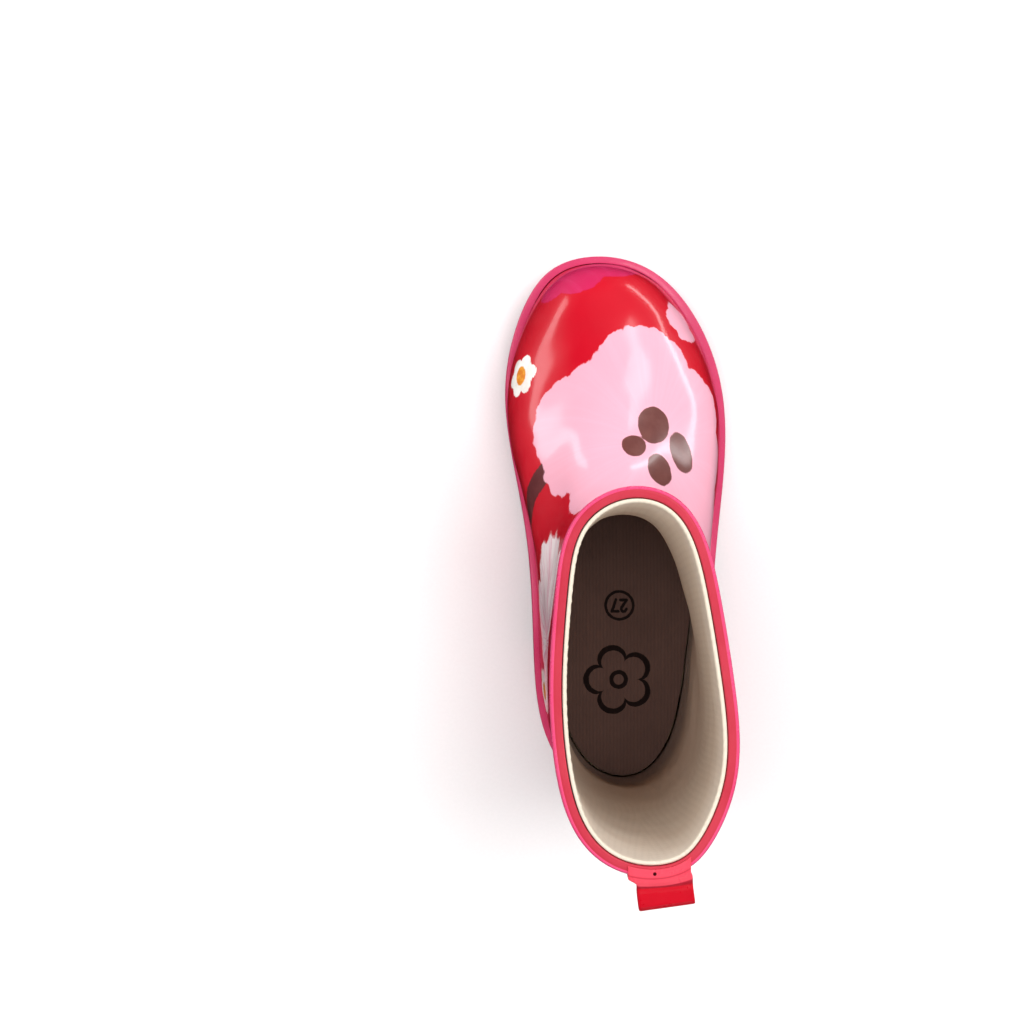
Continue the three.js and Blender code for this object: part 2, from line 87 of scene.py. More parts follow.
# back (y, z), front (y, z), x of both, then the inner and the outer side: roundness of the back end, five
# half widths, roundness of the front end
FOOTPRINT = ring((0, 0), (192, 0), (0.7, -7.5),
                 (46, 21.9, 29.2, 30.4, 35.4, 24.7, 60), (43, 21.6, 31.7, 38.6, 42, 27.5, 62))
SKIN = np.array([
    ring((2.6, 14.8), (189.4, 9.5), (0.7, -7.5),
         (44, 19.6, 26.6, 27.8, 32.8, 22.4, 57), (41, 19.3, 29.1, 36, 39.4, 25.2, 59)),
    ring((2.0, 24), (189.9, 19), (0.7, -7.5),
         (44, 19.9, 26.9, 28.0, 33.4, 22.6, 57), (42, 19.8, 29.4, 36, 39.6, 25.3, 59)),
    ring((1.2, 33), (188.2, 29.5), (0.7, -7.3),
         (44, 20.4, 27.3, 28.6, 34.9, 22.5, 56), (43, 20.4, 29.6, 35.5, 39, 24.8, 58)),
    ring((1.3, 43), (184.3, 40.5), (0.8, -6.5),
         (44, 20.3, 26.9, 28.5, 33.6, 21.2, 52), (43, 20.3, 29.2, 33.7, 36.9, 22.4, 54)),
    ring((1.8, 52), (173, 49.5), (0.9, -5.5),
         (43, 20, 26.5, 28.2, 30.2, 18.6, 46), (43, 20, 28.3, 31.9, 32.8, 19.8, 48)),
    ring((2.4, 61), (155, 57.2), (1, -4.5),
         (42, 19.5, 26.3, 26.9, 25.7, 15.8, 39), (42, 19.5, 27.7, 29.2, 27.8, 16.8, 40)),
    ring((2.8, 71), (133, 66), (1.2, -3.8),
         (41, 19, 26, 26, 22.8, 14.4, 34.5), (41, 19, 27, 27.5, 24, 15, 35.5)),
    ring((2.6, 84), (114.5, 78.5), (1.4, -3.2),
         (40, 18.6, 26, 26, 22, 14.4, 32.5), (40, 18.6, 26.6, 27, 22.4, 14.2, 33)),
    ring((1.5, 101), (105, 96), (1.7, -3),
         (41, 18.5, 26, 26.3, 22.3, 15, 32.5), (40, 18.2, 26.3, 26.6, 22.3, 14.5, 33.5)),
    ring((-0.6, 127), (104, 123), (2.2, -2.6),
         (43, 18.4, 26.1, 26.8, 22.9, 15.4, 32.8), (39, 17.2, 25.7, 26.1, 22.2, 14.7, 34)),
    ring((-2.8, 162), (106, 160), (2.4, -2.1),
         (41, 17.8, 25.6, 26.5, 23.2, 16, 33), (37, 16.3, 25.1, 25.4, 21.7, 14.7, 34)),
    ring((-4.9, 200), (107.4, 200), (2.3, -1.8),
         (39, 17.1, 25.1, 26.2, 23.4, 16.3, 33.2), (35, 15.5, 24.7, 24.9, 21.3, 14.7, 33.9)),
], float)
LAST = len(SKIN) - 1


# ------------------------------------------------------------------ smooth curves through the tables
def natural_moments(y):
    """Second derivatives of the smooth curve through evenly spaced rows."""
    n = len(y)
    a, b = np.eye(n), np.zeros_like(y)
    for i in range(1, n - 1):
        a[i, i - 1:i + 2] = (1, 4, 1)
        b[i] = 6 * (y[i + 1] - 2 * y[i] + y[i - 1])
    return np.linalg.solve(a, b)


def clamped_operator(n):
    """Matrix from n values to the second derivatives of a smooth curve that is level at both ends."""
    a, b = np.zeros((n, n)), np.zeros((n, n))
    for i in range(n):
        if 0 < i < n - 1:
            a[i, i - 1:i + 2] = (1, 4, 1)
            b[i, i - 1:i + 2] = (6, -12, 6)
    a[0, :2], b[0, :2] = (2, 1), (-6, 6)
    a[-1, -2:], b[-1, -2:] = (1, 2), (6, -6)
    return np.linalg.solve(a, b)


SKIN_M = natural_moments(SKIN)
ROUND = clamped_operator(7)
SINES = np.array([1, .5, math.sin(rad(60)), 1, math.sin(rad(60)), .5, 1])


def cubic(y0, y1, m0, m1, t):
    s = 1 - t
    return s * y0 + t * y1 + ((s ** 3 - s) * m0 + (t ** 3 - t) * m1) / 6


def smooth(lo, hi, x):
    t = np.clip((x - lo) / (hi - lo), 0, 1)
    return t * t * (3 - 2 * t)


def rise(y):
    """Height of the whole sole above flat, for the heel and the toe spring."""
    spring = np.clip((y - SPRING_START) / SPRING_LENGTH, 0, 1.1) ** 2
    return HEEL_RISE * (1 - smooth(HEEL_END, WAIST_END, y)) + TOE_SPRING * spring


def lifted(h):
    return lambda y: h + rise(y)


def keys_at(v):
    v = np.asarray(v, float)
    i = np.clip(np.floor(v).astype(int), 0, LAST - 1)
    return cubic(SKIN[i], SKIN[i + 1], SKIN_M[i], SKIN_M[i + 1], (v - i)[..., None])


def ring_points(key, theta):
    """Points of rings (key: ..., 20) at angles theta (...), 0 at the back and growing by the outer side."""
    theta = np.mod(theta, TAU)
    outer = theta <= math.pi
    a = np.where(outer, theta, TAU - theta)
    t = (1 - np.cos(a)) / 2
    medial, lateral = key[..., 6:13] / SINES, key[..., 13:20] / SINES
    ends = (medial[..., [0, 6]] + lateral[..., [0, 6]]) / 2
    table = np.where(outer[..., None], lateral, medial)
    table = np.concatenate([ends[..., :1], table[..., 1:6], ends[..., 1:]], -1)
    m = table @ ROUND.T
    u = a / rad(30)
    i = np.clip(np.floor(u).astype(int), 0, 5)
    pick = lambda arr, k: np.take_along_axis(arr, k[..., None], -1)[..., 0]
    w = cubic(pick(table, i), pick(table, i + 1), pick(m, i), pick(m, i + 1), u - i) * np.sin(a)
    mix = lambda p, q: key[..., p] + (key[..., q] - key[..., p]) * t
    return np.stack([mix(4, 5) + np.where(outer, w, -w), mix(0, 2), mix(1, 3)], -1)


def skin(v, theta):
    v, theta = np.broadcast_arrays(np.asarray(v, float), np.asarray(theta, float))
    key = keys_at(v)
    p = ring_points(key, theta)
    t = np.clip((p[..., 1] - key[..., 0]) / (key[..., 2] - key[..., 0]), 0, 1)
    line = rise(key[..., 0]) * (1 - t) + rise(key[..., 2]) * t
    p[..., 2] += (rise(p[..., 1]) - line) * (1 - smooth(0.5, 3.5, v))
    return p


def unit(a):
    return a / np.maximum(np.linalg.norm(a, axis=-1, keepdims=True), 1e-12)


def skin_normal(v, theta):
    e = 0.01
    v = np.asarray(v, float)
    along = skin(v, theta + e) - skin(v, theta - e)
    up = skin(np.minimum(v + e, LAST), theta) - skin(np.maximum(v - e, 0), theta)
    return unit(np.cross(along, up))


def inside(v, theta, depth):
    """Points depth below the outer skin (negative: outside it)."""
    return skin(v, theta) - skin_normal(v, theta) * np.asarray(depth)[..., None]


THETA = np.arange(NT) * TAU / NT
FIRST_SHAFT_RING = 6
FINE_LEVELS = np.linspace(FIRST_SHAFT_RING, LAST, 4001)
FINE_KEYS = keys_at(FINE_LEVELS)
FINE_HEIGHTS = (FINE_KEYS[:, 1] + FINE_KEYS[:, 3]) / 2


def level_at(z):
    """Ring number at which the shaft reaches a height."""
    return np.interp(z, FINE_HEIGHTS, FINE_LEVELS)


def at_height(height, depth):
    """Ring of the lower skin where it reaches a height given as a function of y."""
    lo, hi = np.zeros(NT), np.full(NT, 5.0)
    for _ in range(28):
        v = (lo + hi) / 2
        p = inside(v, THETA, depth(v, THETA) if callable(depth) else depth)
        low = p[..., 2] < height(p[..., 1])
        lo, hi = np.where(low, v, lo), np.where(low, hi, v)
    return p


def plan_ring(key, inset, height, theta=THETA):
    """Ring moved inwards in plan, its height given as a function of y."""
    key = np.broadcast_to(np.asarray(key, float), (len(theta), 20))
    p = ring_points(key, theta)
    along = ring_points(key, theta + 0.01) - ring_points(key, theta - 0.01)
    along[:, 2] = 0
    along = unit(along)
    p = p - np.stack([along[:, 1], -along[:, 0], np.zeros(len(theta))], -1) * np.reshape(inset, (-1, 1))
    p[:, 2] = height(p[:, 1])
    return p


def rim_points(theta, depth, z):
    """Points of the shaft at exact heights."""
    theta, depth, z = np.broadcast_arrays(theta, depth, z)
    p = inside(level_at(z), theta, depth)
    p[..., 2] = z
    return p


def back_points(xs, depth, z):
    """Points at the back of the shaft with the given x."""
    xs, depth, z = (a.astype(float) for a in np.broadcast_arrays(xs, depth, z))
    lo, hi = np.full_like(xs, -0.8), np.full_like(xs, 0.8)
    for _ in range(20):
        th = (lo + hi) / 2
        p = rim_points(th, depth, z)
        low = p[..., 0] < xs
        lo, hi = np.where(low, th, lo), np.where(low, hi, th)
    return p


# ------------------------------------------------------------------ meshes
def to_frame(p):
    return (np.asarray(p, float) + PLACE) / 1000


def put_in_scene(name, data):
    ob = bpy.data.objects.new(name, data)
    bpy.context.scene.collection.objects.link(ob)
    return ob


def mesh_object(name, points, faces, uv=None):
    """Object from points in millimetres, quads (n, 4) or a list of faces, and one uv per corner."""
    me = bpy.data.meshes.new(name)
    me.from_pydata(to_frame(points).tolist(), [], faces.tolist() if isinstance(faces, np.ndarray) else faces)
    me.polygons.foreach_set("use_smooth", np.ones(len(me.polygons), bool))
    if uv is not None:
        me.uv_layers.new(name="sheet").data.foreach_set("uv", np.asarray(uv, np.float32).ravel())
    me.update()
    return put_in_scene(name, me)


def face_outwards(ob):
    bm = bmesh.new()
    bm.from_mesh(ob.data)
    bmesh.ops.recalc_face_normals(bm, faces=bm.faces)
    bm.to_mesh(ob.data)
    bm.free()
    return ob


def attribute(ob, name, values):
    kind = "FLOAT" if values.ndim == 1 else "FLOAT_VECTOR"
    a = ob.data.attributes.new(name, kind, "POINT")
    a.data.foreach_set("value" if kind == "FLOAT" else "vector", values.astype(np.float32).ravel())


def running_length(points, axis):
    """Length from the first point of each row (axis 1) or column (axis 0) of a grid of points."""
    steps = np.linalg.norm(np.diff(points, axis=axis), axis=-1).cumsum(axis)
    return np.concatenate([np.zeros_like(np.take(steps, [0], axis)), steps], axis)


def lengths(rings):
    """Arc length round each ring and mean length along the columns, in metres."""
    closed = np.concatenate([rings, rings[:, :1]], 1)
    s = running_length(closed, 1)
    s = s - s[:, -1:] / 2
    t = running_length(closed, 0)
    return s / 1000, np.broadcast_to(t.mean(1, keepdims=True), t.shape) / 1000


def hoop(name, rings):
    """Ring stack closed on itself: outside going up, inside coming down."""
    rings = np.asarray(rings)
    m, n = rings.shape[:2]
    i, j = np.meshgrid(np.arange(m), np.arange(n), indexing="ij")
    i2, j2 = (i + 1) % m, (j + 1) % n
    quads = np.stack([i * n + j, i * n + j2, i2 * n + j2, i2 * n + j], -1).reshape(-1, 4)
    s, t = lengths(np.concatenate([rings, rings[:1]], 0))
    corner = lambda a, b: np.stack([s[a, b], t[a, b]], -1)
    uv = np.stack([corner(i, j), corner(i, j + 1), corner(i + 1, j + 1), corner(i + 1, j)], 2)
    return mesh_object(name, rings.reshape(-1, 3), quads, uv.reshape(-1, 2))


def plate(name, rings, bars=0):
    """Filled ring stack. The end caps are made of crossbars, each split into short lengths."""
    rings = np.asarray(rings)
    m, n = rings.shape[:2]
    half = n // 2
    pts = [rings.reshape(-1, 3)]
    faces = []
    for a in range(m - 1):
        j = np.arange(n)
        k = (j + 1) % n
        faces += np.stack([a * n + j, a * n + k, (a + 1) * n + k, (a + 1) * n + j], -1).tolist()
    count = m * n
    for a, up in ((0, False), (m - 1, True)):
        rows = []
        for j in range(half + 1):
            p, q = a * n + j, a * n + (n - j) % n
            if j in (0, half):
                rows.append([p] * (bars + 2))
                continue
            w = np.linspace(0, 1, bars + 2)[1:-1, None]
            new = rings[a, j] * (1 - w) + rings[a, (n - j) % n] * w
            pts.append(new)
            rows.append([p, *range(count, count + bars), q])
            count += bars
        for r0, r1 in zip(rows, rows[1:]):
            for k in range(bars + 1):
                f = [r0[k], r0[k + 1], r1[k + 1], r1[k]]
                f = [x for x, y in zip(f, f[1:] + f[:1]) if x != y]
                if len(f) > 2:
                    faces.append(f[::-1] if up else f)
    pts = np.concatenate(pts)
    ob = mesh_object(name, pts, [list(map(int, f)) for f in faces])
    planar = ob.data.uv_layers.new(name="sheet")
    vi = np.zeros(len(ob.data.loops), np.int32)
    ob.data.loops.foreach_get("vertex_index", vi)
    planar.data.foreach_set("uv", (pts[vi, :2] / 1000).astype(np.float32).ravel())
    return face_outwards(ob)


def patch(name, outer, inner):
    """Closed sheet between two point grids (columns, rows, 3)."""
    c, r = outer.shape[:2]
    loop = np.concatenate([outer, inner[:, ::-1]], 1)
    k = 2 * r
    pts = loop.reshape(-1, 3)
    faces = []
    for i in range(c - 1):
        for j in range(k):
            faces.append([i * k + j, (i + 1) * k + j, (i + 1) * k + (j + 1) % k, i * k + (j + 1) % k])
    for i, flip in ((0, False), (c - 1, True)):
        for j in range(r - 1):
            f = [i * k + j, i * k + j + 1, i * k + k - 2 - j, i * k + k - 1 - j]
            faces.append(f[::-1] if flip else f)
    t, s = running_length(loop, 1) / 1000, running_length(loop, 0) / 1000
    flat_uv = np.stack([s, t], -1).reshape(-1, 2)
    return face_outwards(mesh_object(name, pts, faces, flat_uv[np.array([v for f in faces for v in f])]))


def spread(values, n):
    """n values evenly spaced along a polyline of values (each span in proportion to its length)."""
    v = np.asarray(values, float)
    flat = v.reshape(len(v), -1)
    d = np.concatenate([[0], np.linalg.norm(np.diff(flat, axis=0), axis=1).cumsum()])
    x = np.linspace(0, d[-1], n)
    return np.stack([np.interp(x, d, flat[:, k]) for k in range(flat.shape[1])], -1)


def rounded(points, radius, steps=5):
    """Open polyline (n, 2) with its inner corners rounded off."""
    p = np.asarray(points, float)
    out = [p[0]]
    for a, b, c in zip(p, p[1:], p[2:]):
        u, w = a - b, c - b
        r = min(radius, np.linalg.norm(u) * 0.45, np.linalg.norm(w) * 0.45)
        s, e = b + u / np.linalg.norm(u) * r, b + w / np.linalg.norm(w) * r
        for k in range(steps + 1):
            t = k / steps
            out.append((1 - t) ** 2 * s + 2 * t * (1 - t) * b + t * t * e)
    out.append(p[-1])
    return np.array(out)


# ------------------------------------------------------------------ shader helpers
class Nodes:
    """Small helper to write a node material."""

    def __init__(self, name):
        self.mat = bpy.data.materials.new(name)
        self.mat.use_nodes = True
        self.tree = self.mat.node_tree
        self.bsdf = self.tree.nodes["Principled BSDF"]

    def put(self, socket, value):
        if isinstance(value, bpy.types.NodeSocket):
            self.tree.links.new(value, socket)
        elif isinstance(value, (tuple, list)) and len(value) == 3 and socket.type == "RGBA":
            socket.default_value = (*value, 1)
        else:
            socket.default_value = value

    def node(self, kind, inputs=(), **props):
        n = self.tree.nodes.new(kind)
        for k, v in props.items():
            setattr(n, k, v)
        for k, v in dict(inputs).items():
            self.put(n.inputs[k], v)
        return n

    def math(self, op, a, b=0.0, c=0.0, clamp=False):
        return self.node("ShaderNodeMath", {0: a, 1: b, 2: c}, operation=op, use_clamp=clamp).outputs[0]

    def mix(self, fac, a, b, blend="MIX"):
        n = self.tree.nodes.new("ShaderNodeMix")
        n.data_type, n.blend_type = "RGBA", blend
        for k, v in ((0, fac), (6, a), (7, b)):
            self.put(n.inputs[k], v)
        return n.outputs[2]

    def ramp(self, x, lo, hi, out_lo=0.0, out_hi=1.0):
        ins = {0: x, 1: lo, 2: hi, 3: out_lo, 4: out_hi}
        return self.node("ShaderNodeMapRange", ins, interpolation_type="SMOOTHSTEP").outputs[0]

    def fade(self, x, lo, hi, a, b, blend="MIX"):
        """Colour a where x is below lo, b where it is above hi."""
        return self.mix(self.ramp(x, lo, hi), a, b, blend)

    def vector(self, op, *inputs, scale=None):
        ins = dict(enumerate(inputs))
        if scale is not None:
            ins["Scale"] = scale
        n = self.node("ShaderNodeVectorMath", ins, operation=op)
        return n.outputs["Value" if op in ("LENGTH", "DISTANCE", "DOT_PRODUCT") else "Vector"]

    def coords(self):
        return self.node("ShaderNodeTexCoord").outputs["Object"]

    def uv(self):
        return self.node("ShaderNodeUVMap", uv_map="sheet").outputs[0]

    def attr(self, name, out="Fac"):
        return self.node("ShaderNodeAttribute", attribute_name=name).outputs[out]

    def noise(self, scale, detail, rough=0.5, vec=None):
        ins = {"Vector": vec or self.coords(), "Scale": scale, "Detail": detail, "Roughness": rough}
        return self.node("ShaderNodeTexNoise", ins).outputs["Fac"]

    def wave(self, vec, scale, distortion, detail, detail_scale, direction="X"):
        ins = {"Vector": vec, "Scale": scale, "Distortion": distortion, "Detail": detail,
               "Detail Scale": detail_scale}
        return self.node("ShaderNodeTexWave", ins, bands_direction=direction).outputs["Fac"]

    def bump(self, height, strength, distance):
        ins = {"Height": height, "Strength": strength, "Distance": distance}
        return self.node("ShaderNodeBump", ins).outputs[0]

    def done(self, **sockets):
        for k, v in sockets.items():
            self.put(self.bsdf.inputs[k.replace("_", " ")], v)
        return self.mat


def srgb(r, g, b):
    f = lambda c: c / 255 / 12.92 if c / 255 <= 0.04045 else ((c / 255 + 0.055) / 1.055) ** 2.4
    return (f(r), f(g), f(b))


def dress(ob, mat):
    ob.data.materials.clear()
    ob.data.materials.append(mat)
    return ob


def rubber(name, colour, dark, rough=0.35, speck=0.25, coat=0.0):
    """Moulded rubber: slight colour clouds, fine grain, worn and dusty patches."""
    n = Nodes(name)
    cloud = n.noise(45, 4, 0.6)
    col = n.fade(cloud, 0.3, 0.75, colour, dark)
    fine = n.noise(1600, 3, 0.6)
    col = n.mix(n.math("MULTIPLY", n.ramp(fine, 0.6, 0.8), 0.12), col, (0.9, 0.8, 0.8))
    r = n.ramp(n.noise(120, 5, 0.65), 0.25, 0.8, rough - 0.07, rough + 0.12)
    height = n.math("ADD", n.math("MULTIPLY", fine, 0.35), n.noise(260, 3, 0.5))
    return n.done(Base_Color=col, Roughness=r, Normal=n.bump(height, speck, 0.00025),
                  Coat_Weight=coat, Coat_Roughness=0.12)


# ------------------------------------------------------------------ upper shell
TOP_LEVEL = level_at(SHAFT_TOP)


def even_levels(lo, hi, n):
    v = np.linspace(lo, hi, 600)
    p = skin(v[:, None], np.array([0, 1.6, math.pi, 4.7])[None, :])
    d = np.concatenate([[0], np.linalg.norm(np.diff(p, axis=0), axis=-1).mean(1).cumsum()])
    return np.interp(np.linspace(0, d[-1], n), d, v)


def wobble(p, size, seed):
    """Smooth, repeatable unevenness of about +-1 over patches of the given size."""
    total = np.zeros(p.shape[:-1])
    for k in range(5):
        a = seed * 12.9898 + k * 78.233
        d = np.array([math.sin(a), math.sin(a * 1.7 + 1), math.sin(a * 2.3 + 2)])
        total += np.sin(p @ d * (TAU / size * (1 + 0.35 * k)) + a * 3.1)
    return total / 2.6


OUTER_V = even_levels(0.06, TOP_LEVEL, 270)
OUTER = skin(OUTER_V[:, None], THETA[None, :])
OUTER_N = skin_normal(OUTER_V[:, None], THETA[None, :])
OUTER = OUTER + OUTER_N * (wobble(OUTER, 46, 1) * 0.16)[..., None]

inner_v = even_levels(0.45, TOP_LEVEL, 60)[::-1]
cut_edge = lambda depth: rim_points(THETA, np.full(NT, depth), SHAFT_TOP)[None]
upper_rings = np.concatenate([
    plan_ring(SKIN[0], FLANGE_WIDTH, lifted(FLANGE_BOTTOM))[None],
    plan_ring(SKIN[0], 2.5, lifted(FLANGE_BOTTOM))[None],
    plan_ring(SKIN[0], 1.0, lifted(FLANGE_BOTTOM + 0.05))[None],
    OUTER,
    cut_edge(0.35),
    cut_edge(1.65),
    inside(inner_v[:, None], THETA[None, :], np.full((60, NT), SKIN_THICK)),
    plan_ring(SKIN[0], SKIN_THICK + 0.9, lifted(FLANGE_BOTTOM + FLANGE_THICK))[None],
    plan_ring(SKIN[0], FLANGE_WIDTH, lifted(FLANGE_BOTTOM + FLANGE_THICK))[None],
])
upper = hoop("rubber_upper", upper_rings)
PTS = upper_rings.reshape(-1, 3)
first = 3 * NT                # the three rings of the flange come before the outside
outer_slice = slice(first, first + OUTER.shape[0] * NT)
NRM = np.tile([0.0, 0.0, -1.0], (len(PTS), 1))
NRM[outer_slice] = OUTER_N.reshape(-1, 3)

# ------------------------------------------------------------------ the print: soft painted blossoms
# Each colour is a signed distance in millimetres (negative inside), kept on the vertices.
EYE = np.array([-38.5, 101.0, 990.0])    # the camera; the print on the foot is laid out as seen from here
SIGHT_HEIGHT, INSTEP_TOP = 50, 112
SIGHT = EYE[:2] + (PTS[:, :2] - EYE[:2]) * ((EYE[2] - SIGHT_HEIGHT) / (EYE[2] - PTS[:, 2]))[:, None]
FAR, NOWHERE = 30.0, 1e9
COLOURS = ("stalk", "pink", "pale", "magenta", "brown", "orange", "petal_white")
layers = {k: np.full(len(PTS), FAR) for k in COLOURS}
streak = np.zeros((len(PTS), 3))
nearest = np.full(len(PTS), NOWHERE)
is_top = (NRM[:, 2] > 0.04) & (PTS[:, 2] < INSTEP_TOP)


def on_top(x, y):
    """Vertex of the foot that is seen from above at plan position (x, y)."""
    return int(np.argmin(np.where(is_top, np.hypot(SIGHT[:, 0] - x, SIGHT[:, 1] - y), NOWHERE)))


def on_wall(degrees, z):
    """Vertex at an angle round the boot (0 back, 90 outer side) and a height."""
    j = int(round(rad(degrees) / TAU * NT)) % NT
    col = OUTER[:, j, 2]
    return first + int(np.argmin(np.abs(col - z))) * NT + j


def decal(at, up, turn, depth):
    """Flat coordinates (a, b) in millimetres round a vertex, and which vertices they hold for."""
    c, n = PTS[at], NRM[at]
    side = unit(np.cross(np.asarray(up, float), n))
    top = np.cross(n, side)
    d = PTS - c
    a, b, h = d @ side, d @ top, d @ n
    ca, sa = math.cos(turn), math.sin(turn)
    return ca * a + sa * b, -sa * a + ca * b, (np.abs(h) < depth) & (NRM @ n > -0.1)


def lay(layer, distance, where=True):
    layers[layer] = np.minimum(layers[layer], np.where(where, distance, FAR))


def rays(a, b, where, radius):
    """Streak coordinates that fan out from a blossom's middle."""
    r = np.hypot(a, b)
    near = where & (r / radius < nearest)
    streak[near] = np.stack([a / np.maximum(r, .01), b / np.maximum(r, .01), r / radius], -1)[near]
    nearest[near] = (r / radius)[near]


def brushed(amount, fine, seed):
    return wobble(PTS, 11, seed) * amount + wobble(PTS, 2.6, seed + 3) * fine


def blob(layer, spots, place, amount, fine, seed):
    """One torn-edged patch made of round petals: two numbers for place, and a radius."""
    d = np.full(len(PTS), FAR)
    for p, q, r in spots:
        at = place(p, q)
        d = np.minimum(d, np.where(NRM @ NRM[at] > -0.2, np.linalg.norm(PTS - PTS[at], axis=1) - r, FAR))
    lay(layer, d + brushed(amount, fine, seed))


def blossom(layer, at, radius, petals, turn, up=(0, 0, 1), depth_cut=0.26, seed=1, amount=0.4):
    """Flower of equal petals; depth_cut is how deep the notches between them go."""
    a, b, ok = decal(at, up, turn, radius * 0.9)
    r, phi = np.hypot(a, b), np.arctan2(b, a)
    edge_r = radius * (1 - depth_cut + depth_cut * np.abs(np.cos(petals / 2 * phi)) ** 0.55)
    lay(layer, (r - edge_r) * 0.85 + brushed(amount, 0.18, seed), ok)
    rays(a, b, ok, radius)
    return a, b, ok


def stamens(at, ovals, seed):
    """Brown ovals round a vertex of the shaft: shift across and up, width, height, turn."""
    for across, up, width, height, turn in ovals:
        a, b, ok = decal(at, (0, 0, 1), turn, 12)
        k = np.hypot((a - across) / (width / 2), (b - up) / (height / 2))
        lay("brown", (k - 1) * min(width, height) / 2 + wobble(PTS, 5, seed) * 0.16, ok)


def oval_on_top(x, y, width, height, turn):
    """Oval of the foot's print, true to shape as seen from above."""
    dx, dy = SIGHT[:, 0] - x, SIGHT[:, 1] - y
    a, b = math.cos(turn) * dx + math.sin(turn) * dy, math.cos(turn) * dy - math.sin(turn) * dx
    k = np.hypot(a / (width / 2), b / (height / 2))
    lay("brown", (k - 1) * min(width, height) / 2 + wobble(PTS, 9, 2) * 0.12, is_top)


def daisy(at, radius, turn, seed, up=(0, 0, 1)):
    a, b, ok = blossom("petal_white", at, radius, 6, turn, up, 0.36, seed, 0.22)
    lay("orange", np.hypot(a, b * 0.8) - radius * 0.36 + wobble(PTS, 4, seed) * 0.15, ok)


def stem(spots, place, width, seed):
    """Stalk through the given places."""
    at = [place(*s) for s in spots]
    for i, j in zip(at, at[1:]):
        p, q = PTS[i], PTS[j]
        t = np.clip((PTS - p) @ (q - p) / ((q - p) @ (q - p)), 0, 1)
        d = np.linalg.norm(PTS - (p + t[:, None] * (q - p)), axis=1) - width / 2
        lay("stalk", np.where(NRM @ NRM[i] > 0, d + wobble(PTS, 7, seed) * 0.25, FAR))


# on the foot, as seen from above
BIG_BLOSSOM = [(8, 148.5, 18.5), (-5, 139, 17.5), (-15.5, 131, 19), (-18.5, 119, 13), (22.5, 136, 16.5),
               (26, 120, 16.5), (9, 124, 24), (27, 101, 17), (6, 110, 19), (30, 88, 15), (-8, 109, 12.6)]
BIG_RADIUS = 60
blob("pink", BIG_BLOSSOM, on_top, 0.5, 0.28, 5)
rays(*decal(on_top(10, 124), (0, 1, 0), 0, BIG_RADIUS), BIG_RADIUS)
TOE_BLOSSOM = [(-16, 183, 9.5), (-5, 186, 10.5), (-24.5, 178, 6), (4, 188, 7.5)]
blob("magenta", TOE_BLOSSOM, on_top, 0.35, 0.15, 8)
oval_on_top(10.4, 131.0, 10.6, 12.8, 0.3)
oval_on_top(3.6, 123.9, 8.6, 7.2, -0.3)
oval_on_top(12.5, 115.7, 7.4, 11.8, 0.42)
oval_on_top(19.9, 121.5, 6.8, 15.0, 0.3)
blossom("pink", on_top(20.0, 166.2), 8.6, 5, 0.4, (0, 1, 0), 0.24, 3)
daisy(on_top(-35.4, 148.0), 7.8, 0.3, 4, (0, 1, 0))
stem([(-26.0, 116), (-31.8, 107), (-35.4, 98)], on_top, 7.6, 6)

# on the inner side of the shaft
blossom("pale", on_wall(272, 80), 37, 6, 0.3, seed=11, amount=0.9)
blossom("magenta", on_wall(232, 150), 24, 5, 0.9, seed=12)
daisy(on_wall(290, 150), 9.5, 0.1, 13)
daisy(on_wall(306, 44), 8.5, 0.5, 14)
blossom("pink", on_wall(322, 108), 19, 5, 0.2, seed=15)
stamens(on_wall(322, 108), [(-3, 4, 7, 10, .3), (4, 2, 6, 11, -.4), (0, -6, 7, 9, .1)], 9)

# on the outer side and the back
blossom("pink", on_wall(86, 128), 29, 6, 0.15, seed=16, amount=0.6)
BACK_STAMENS = [(-5, 4, 8, 12, .5), (5, 5, 7, 11, -.3), (-1, -7, 8, 12, .2), (9, -5, 6, 10, .8)]
stamens(on_wall(86, 128), BACK_STAMENS, 10)
stem([(76, 104), (72, 84), (69, 66), (69, 50), (71, 36)], on_wall, 5.5, 7)
daisy(on_wall(40, 150), 9, 0.4, 18)
blossom("magenta", on_wall(38, 62), 20, 5, 0.5, seed=19)
blossom("pale", on_wall(5, 118), 22, 6, 0.8, seed=20, amount=0.7)
daisy(on_wall(345, 62), 8.5, 0.2, 21)
blossom("magenta", on_wall(136, 168), 17, 5, 1.2, seed=22)
blossom("pink", on_wall(180, 150), 22, 5, 0.6, seed=23)
daisy(on_wall(205, 178), 7.5, 0.9, 24)
blossom("pink", on_wall(330, 166), 14, 5, 0.1, seed=25)
for key, values in layers.items():
    attribute(upper, "print_" + key, np.clip(values, -FAR, FAR))
attribute(upper, "streak", streak)

RED, RED_DEEP = srgb(208, 3, 34), srgb(195, 2, 30)


